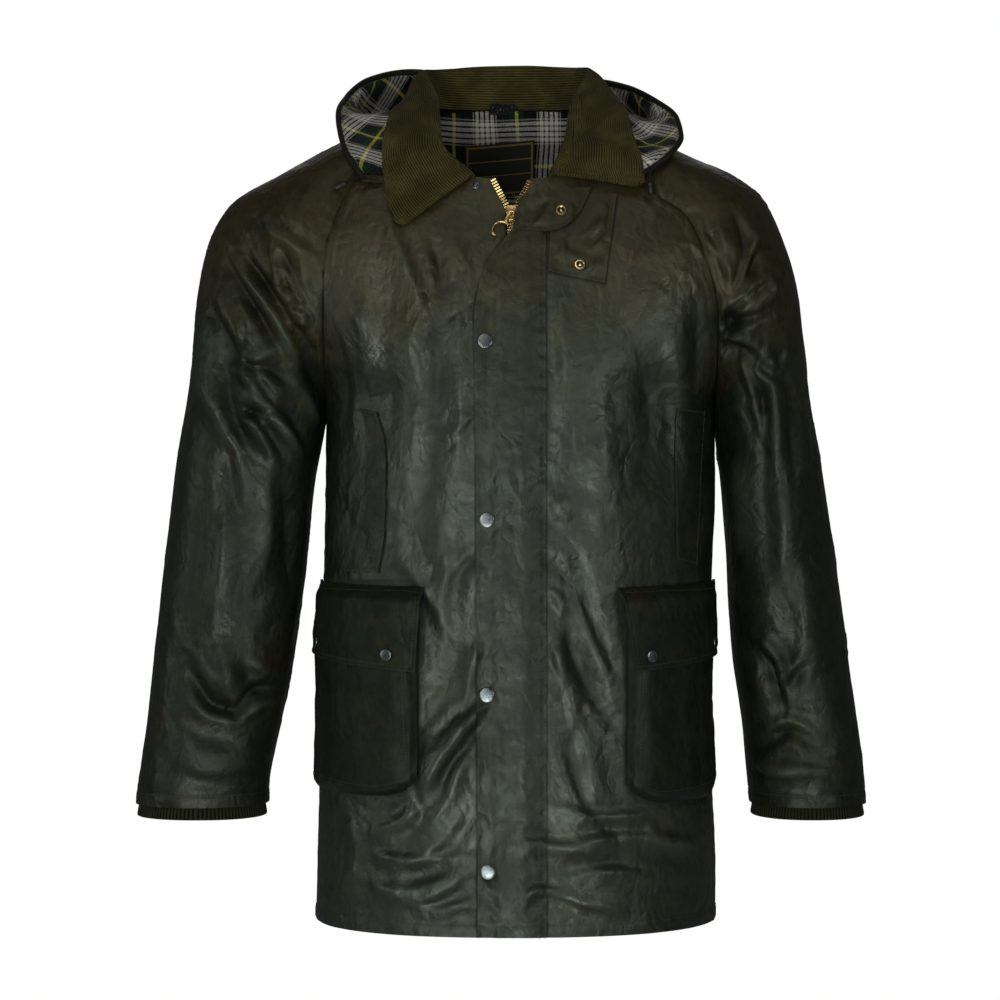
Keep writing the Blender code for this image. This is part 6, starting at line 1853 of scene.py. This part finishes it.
def build_studs():
    caps, nodes = [], []
    for k, spot in enumerate(FRONT_SNAPS):
        free, sewn = FLAP.at("free_x", -spot[1]), FLAP.at("sewn_x", -spot[1])
        inner = (spot[0] + SNAP_R - free) / (sewn - free)
        caps.append(stud(spot, flap_bow(inner) + FLAP_WALL + SNAP_SEAT, SNAP_R, CAP))
        nodes.append("snap_front_" + str(k + 1))
    join("front_stud_caps", caps, "gunmetal", nodes)
    for side, word in WORDS.items():
        p = POCKET[side]
        caps, nodes = [], []
        for k, (x, z) in enumerate(p["snaps"]):
            u, _ = find_front(side, side * x, z)
            near_u = find_front(side, side * p["flap_low_near"], z)[0]
            across = (u - near_u) / (FLAP_FAR - near_u)
            down = (z - p["flap_top"]) / (p["flap_low"] - p["flap_top"])
            lift = LAY + FLAP_DEEP + flap_rise(side, across) * flap_press(across, down) + SNAP_SEAT
            caps.append(stud((side * x, z), float(lift), POCKET_SNAP_R, CAP))
            nodes.append("snap_pocket_" + word + "_" + str(k + 1))
        join("pocket_stud_caps_" + word, caps, "gunmetal", nodes)
    seats = [(TURNBACK_SOCKET, TURNBACK_LIFT + TURNBACK_CROWN + SNAP_SEAT),
             (TAB_SOCKET, LAY + TAB_WALL + TAB_CROWN)]
    for name, profile, colour in (("throat_sockets", SOCKET, "brass"),
                                  ("throat_socket_cups", CUP, "black_metal"),
                                  ("throat_socket_pins", PIN, "bright_brass")):
        nodes = ["socket_turnback", "socket_tab"] if profile is SOCKET else ()
        rings = [stud(spot, lift, SOCKET_R, profile) for spot, lift in seats]
        join(name, rings, colour, nodes)
    post = stud(COLLAR_STUD, SNAP_SEAT, STUD_R, STUD)
    join("collar_stud_post", [post], "gunmetal", ["stud_collar"])


TOOTH = (.0011, .0030, .0019)     # half sizes along the tape, across it and out
TOOTH_BEVEL = .0003
TOOTH_PITCH = .0032
SLIDER_COVERS = (-.028, .001)     # the teeth between these heights from the slider's are left out
CHAIN_START = .0006
CHAIN_SPREAD = .0042     # how much further the open chains part at the neck


def block(work):
    bmesh.ops.create_cube(work, size=2)


def build_zip():
    """A tape behind each front edge with cast teeth along it, from neck to hem."""
    v = row_places(BODY_ROWS)[2:]
    back = CLOTH + TAPE_WALL
    for side, word in WORDS.items():
        edge = on_front(side, 0 * v, np.minimum(v, 1.99), 0)
        apart = np.abs(edge[:, 0]) - ZIP_HALF
        bead = np.maximum(0, apart - SEAM) + np.where(apart < .0005, LAY / 3, CHAIN_OPEN)
        lean = np.where(v > .3, SEAM, 0)
        across = np.linspace(0, 1, 7)
        inner, far = bead + .0002, np.abs(edge[:, 0]) + TAPE_WIDE
        x = inner[:, None] + (far - inner)[:, None] * across
        places = stack(side * x, (edge[:, 1] + back + lean)[:, None], edge[:, 2][:, None])
        tape = Cloth(places[1:], side == LEFT)
        tape.piece("zip_tape_" + word, "tape", None, "waxed_cotton", "hung", TAPE_WALL)
        line = stack(side * (bead + CHAIN_HALF / 2), edge[:, 1] + back + lean - CHAIN_DEEP / 2, edge[:, 2])
        shift = 0 if side == RIGHT else TOOTH_PITCH / 2
        line = np.vstack([line[0] * 2 - line[1], line])
        line[:, 1] -= .0010
        line[:, 0] += side * CHAIN_SPREAD * ease(SLIDER_Z + .004, SLIDER_Z + .040, line[:, 2])
        run = lengths(line[:, None], 0)[:, 0]
        places = np.arange(CHAIN_START + shift, run[-1] - .002, TOOTH_PITCH)
        low = np.interp(places, run, line[:, 2])
        places = places[(low > SLIDER_Z + SLIDER_COVERS[1]) | (low < SLIDER_Z + SLIDER_COVERS[0])]
        even = stack(*(np.interp(places, run, line[:, axis]) for axis in range(3)))
        paths = Paths()
        paths.add(even, np.tile([0.0, -1, 0], (len(even), 1)), 0)
        tooth = piece_of("tooth", block, TOOTH)
        round_off(tooth, TOOTH_BEVEL)
        item = set_along("zip_teeth_" + word, paths, tooth, TOOTH_PITCH, "brass", "brass")
        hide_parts("zip_chain_" + word)


def round_off(item, offset):
    work = bmesh.new()
    work.from_mesh(item.data)
    bmesh.ops.bevel(work, geom=work.edges[:], offset=offset, segments=1, affect="EDGES")
    work.to_mesh(item.data)
    work.free()


# half the slider's outline from its top to its foot, as shares of its half width and length
SLIDER_OUTLINE = [(.18, .50), (.62, .50), (.95, .36), (1, .12), (.74, -.12), (.66, -.42), (.52, -.50)]
LINK_OUTLINE = [(.36, -.5), (.5, -.36), (.42, .36), (.28, .5)]
# the line of the bridge's two rails, along the slider and out from it
BRIDGE = [(.0042, .0008), (.0036, .0030), (.0010, HINGE_OUT + BAR_R), (-.0014, HINGE_OUT + BAR_R),
          (-.0034, .0026), (-.0038, .0008)]
RAIL_R = .0006
GRIP_OPEN = (196, 392)     # the grip is an open ring, from and to these degrees


def mirrored(half):
    return half + [(-x, y) for x, y in half[::-1]]


def build_slider():
    """The slider with its bridge, and the hinged pull: an eye, a link and an open ring."""
    out = unit((0, *CHEST_SLOPE))
    across = np.array([1.0, 0, 0])
    up = np.cross(out, across)
    edge = on_front(RIGHT, np.array([0.0]), np.array([.2]), 0.0)[0]
    base = np.array([SLIDER_X, edge[1], SLIDER_Z]) + out * SLIDER_OUT
    outline = [(x * SLIDER[0], y * SLIDER[1]) for x, y in mirrored(SLIDER_OUTLINE)]
    body = plate(base, (across, up, out), outline, SLIDER[2], .0004)
    hinge = base + out * HINGE_OUT
    bridge = [base + up * y + out * z for y, z in BRIDGE]
    rails = [tube([p + across * side * LUG_APART for p in catmull(bridge, 16)], RAIL_R) for side in (-1, 1)]
    bar = tube([hinge - across * BAR_LONG / 2, hinge + across * BAR_LONG / 2], BAR_R)
    join("zip_slider_body", [body, bar, *rails], "brass", ["zip_slider"])

    way = unit(np.array(PULL_WAY))
    face = unit(np.cross(across, way))
    wide = np.cross(way, face)

    def arc(centre, one, other, radius, start, end, count):
        return [centre + radius * (one * math.cos(a) + other * math.sin(a))
                for a in np.radians(np.linspace(start, end, count))]

    eye = tube(arc(hinge, np.array([0, 0, 1.0]), np.array([0, -1.0, 0]), PULL_EYE, 0, 360, 25), PULL_WIRE)
    long = PULL_LINK[1]
    middle = hinge + way * (PULL_EYE + long / 2)
    outline = [(x * PULL_LINK[0], y * long) for x, y in mirrored(LINK_OUTLINE)]
    link = plate(middle, (wide, way, face), outline, PULL_LINK[2], .0003)
    centre = hinge + way * (PULL_EYE + long + PULL_RING - PULL_WIRE)
    grip = arc(centre, -way, wide, PULL_RING, *GRIP_OPEN, 49)
    swell = GRIP_WIRE * (1.25 + .25 * np.cos(np.linspace(0, 2 * np.pi, len(grip))))
    join("zip_pull_grip", [eye, link, tube(grip, swell)], "brass", ["zip_pull"], "pull_tab")


# ---- drawcord ends ----
TOGGLE_BANDS = [(.0, 0), (.70, 0), (.92, .05), (1, .12), (1, .30), (.86, .34), (.86, .42), (1, .46), (1, .88),
                (.9, .96), (.66, 1), (0, 1)]


def build_cords():
    """The drawcord's two free ends, each ending in its toggle."""
    for word, route in CORDS.items():
        line = catmull(route, CORD_STEPS)
        curve = bpy.data.curves.new("drawcord_" + word, "CURVE")
        curve.dimensions = "3D"
        curve.bevel_depth = CORD_R
        curve.bevel_resolution = 3
        curve.use_fill_caps = True
        spline = curve.splines.new("POLY")
        spline.points.add(len(line) - 1)
        for point, place in zip(spline.points, line):
            point.co = (*place, 1)
        curve.materials.append(FINISHES["cord"])
        item = add_object("drawcord_" + word, curve)
        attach(item, "jacket")
        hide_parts("hood_cord_" + word)
        way = unit(line[-1] - line[-2])
        profile = [(r * TOGGLE_R, h * TOGGLE_LONG) for r, h in TOGGLE_BANDS]
        slot = "toggle_brown" if word == "right" else "toggle_black"
        toggle = join("cord_toggle_" + word, [turned(line[-1] + way * TOGGLE_GAP, way, profile, 24)],
                      slot, ["toggle_" + word])


# ---- sewing ----
SEAM_STITCH = .0075
STITCH_PITCH = .0034
STITCH = (.0012, .00034, .00028)


def sew_panels():
    """Stitching beside the raglan seams and round the hems."""
    valley = int(UPPER_ROWS * .86)
    for word in WORDS.values():
        front, sleeve = PANELS.cloth["front_" + word], PANELS.cloth["sleeve_" + word]
        SEWING.down(front, SEAM_STITCH, slice(4, valley), right=True)
        SEWING.both(sleeve, SEAM_STITCH, slice(4, valley))
        SEWING.across(sleeve, HEM_STITCH)
        SEWING.across(front, HEM_STITCH)
    back = PANELS.cloth["back"]
    SEWING.both(back, SEAM_STITCH, slice(4, valley))
    SEWING.across(back, HEM_STITCH)


def bead(work):
    bmesh.ops.create_icosphere(work, subdivisions=1, radius=1)


def sew():
    for name, paths, colour, slot in (("sewing", SEWING, "thread", "waxed_cotton"),
                                      ("pale_sewing", PALE_SEWING, "pale_thread", "tartan_lining")):
        set_along(name, paths, piece_of("stitch", bead, STITCH), STITCH_PITCH, colour, slot)


# ---- studio ----
CAMERA_AT = (-.012, -2.86, -.414)
PICTURE_WIDE = 1.02        # metres across the picture, at this distance from the camera
PICTURE_AWAY = 2.8
SENSOR = 36
FLOOR_Z = -1.45


def build_camera():
    """A level camera; the picture's width is held at one distance from it."""
    data = bpy.data.cameras.new("camera")
    data.sensor_width = SENSOR
    data.lens = SENSOR * PICTURE_AWAY / PICTURE_WIDE
    data.clip_start = .05
    camera = add_object("camera", data)
    camera.location = CAMERA_AT
    camera.rotation_euler = (math.pi / 2, 0, 0)
    bpy.context.scene.camera = camera


WORLD_LIGHT = .06          # strength of the white world where the camera doesn't look at it
# name, place, what it points at, size in metres and watts
LIGHTS = [
    ("key", (-1.0, -2.9, -.15), (-.05, 0, -.42), .9, 10.5),
    ("fill", (1.6, -2.6, -.1), (0, 0, -.45), .8, 11),
    ("top", (0, -.9, 2.0), (0, 0, -.2), 1.4, 3),
    ("low", (-.3, -2.6, -1.3), (-.05, 0, -.65), .8, 20),
    ("side", (-2.6, -.9, -.2), (0, 0, -.4), 1.0, 6),
    ("high", (-.5, -2.5, 1.1), (0, 0, -.3), .8, 4.2),
    ("behind", (0, 2.6, .8), (0, 0, -.4), 2.0, 6),
]


def build_studio():
    """A pale floor, a world that the camera sees as plain white, and soft boxes."""
    work = bmesh.new()
    bmesh.ops.create_circle(work, cap_ends=True, segments=64, radius=2.4)
    bmesh.ops.translate(work, vec=(0, 0, FLOOR_Z), verts=work.verts)
    mesh = bpy.data.meshes.new("floor")
    work.to_mesh(mesh)
    work.free()
    mesh.materials.append(Finish("floor", .8).finish(rgb(232, 232, 230)))
    add_object("floor", mesh)
    for name, place, aim, size, watts in LIGHTS:
        light = bpy.data.lights.new(name, "AREA")
        light.size, light.energy = size, watts
        item = add_object(name, light)
        item.location = place
        item.rotation_euler = (Vector(aim) - Vector(place)).to_track_quat("-Z", "Y").to_euler()
    world = bpy.data.worlds.new("studio")
    bpy.context.scene.world = world
    world.use_nodes = True
    tree = world.node_tree
    background = tree.nodes["Background"]
    seen = tree.nodes.new("ShaderNodeLightPath")
    strength = tree.nodes.new("ShaderNodeMapRange")
    strength.inputs["To Min"].default_value = WORLD_LIGHT
    strength.inputs["To Max"].default_value = 1.0
    background.inputs["Color"].default_value = (1, 1, 1, 1)
    tree.links.new(seen.outputs["Is Camera Ray"], strength.inputs["Value"])
    tree.links.new(strength.outputs[0], background.inputs["Strength"])
    bpy.context.scene.view_settings.view_transform = "Standard"


# ---- making ----
build_camera()
FINISHES = finishes()
ROW_TREE = row_tree()
SEWING, PALE_SEWING = Paths(), Paths()
build_cords()
PANELS = Panels()
PANELS.build()
sew_panels()
build_collar()
build_hood()
build_cuffs()
build_inside()
build_flap()
build_throat()
build_welts()
for pocket_side, pocket_word in WORDS.items():
    build_pocket(pocket_side, pocket_word)
build_zip()
build_slider()
build_studs()
sew()
build_studio()
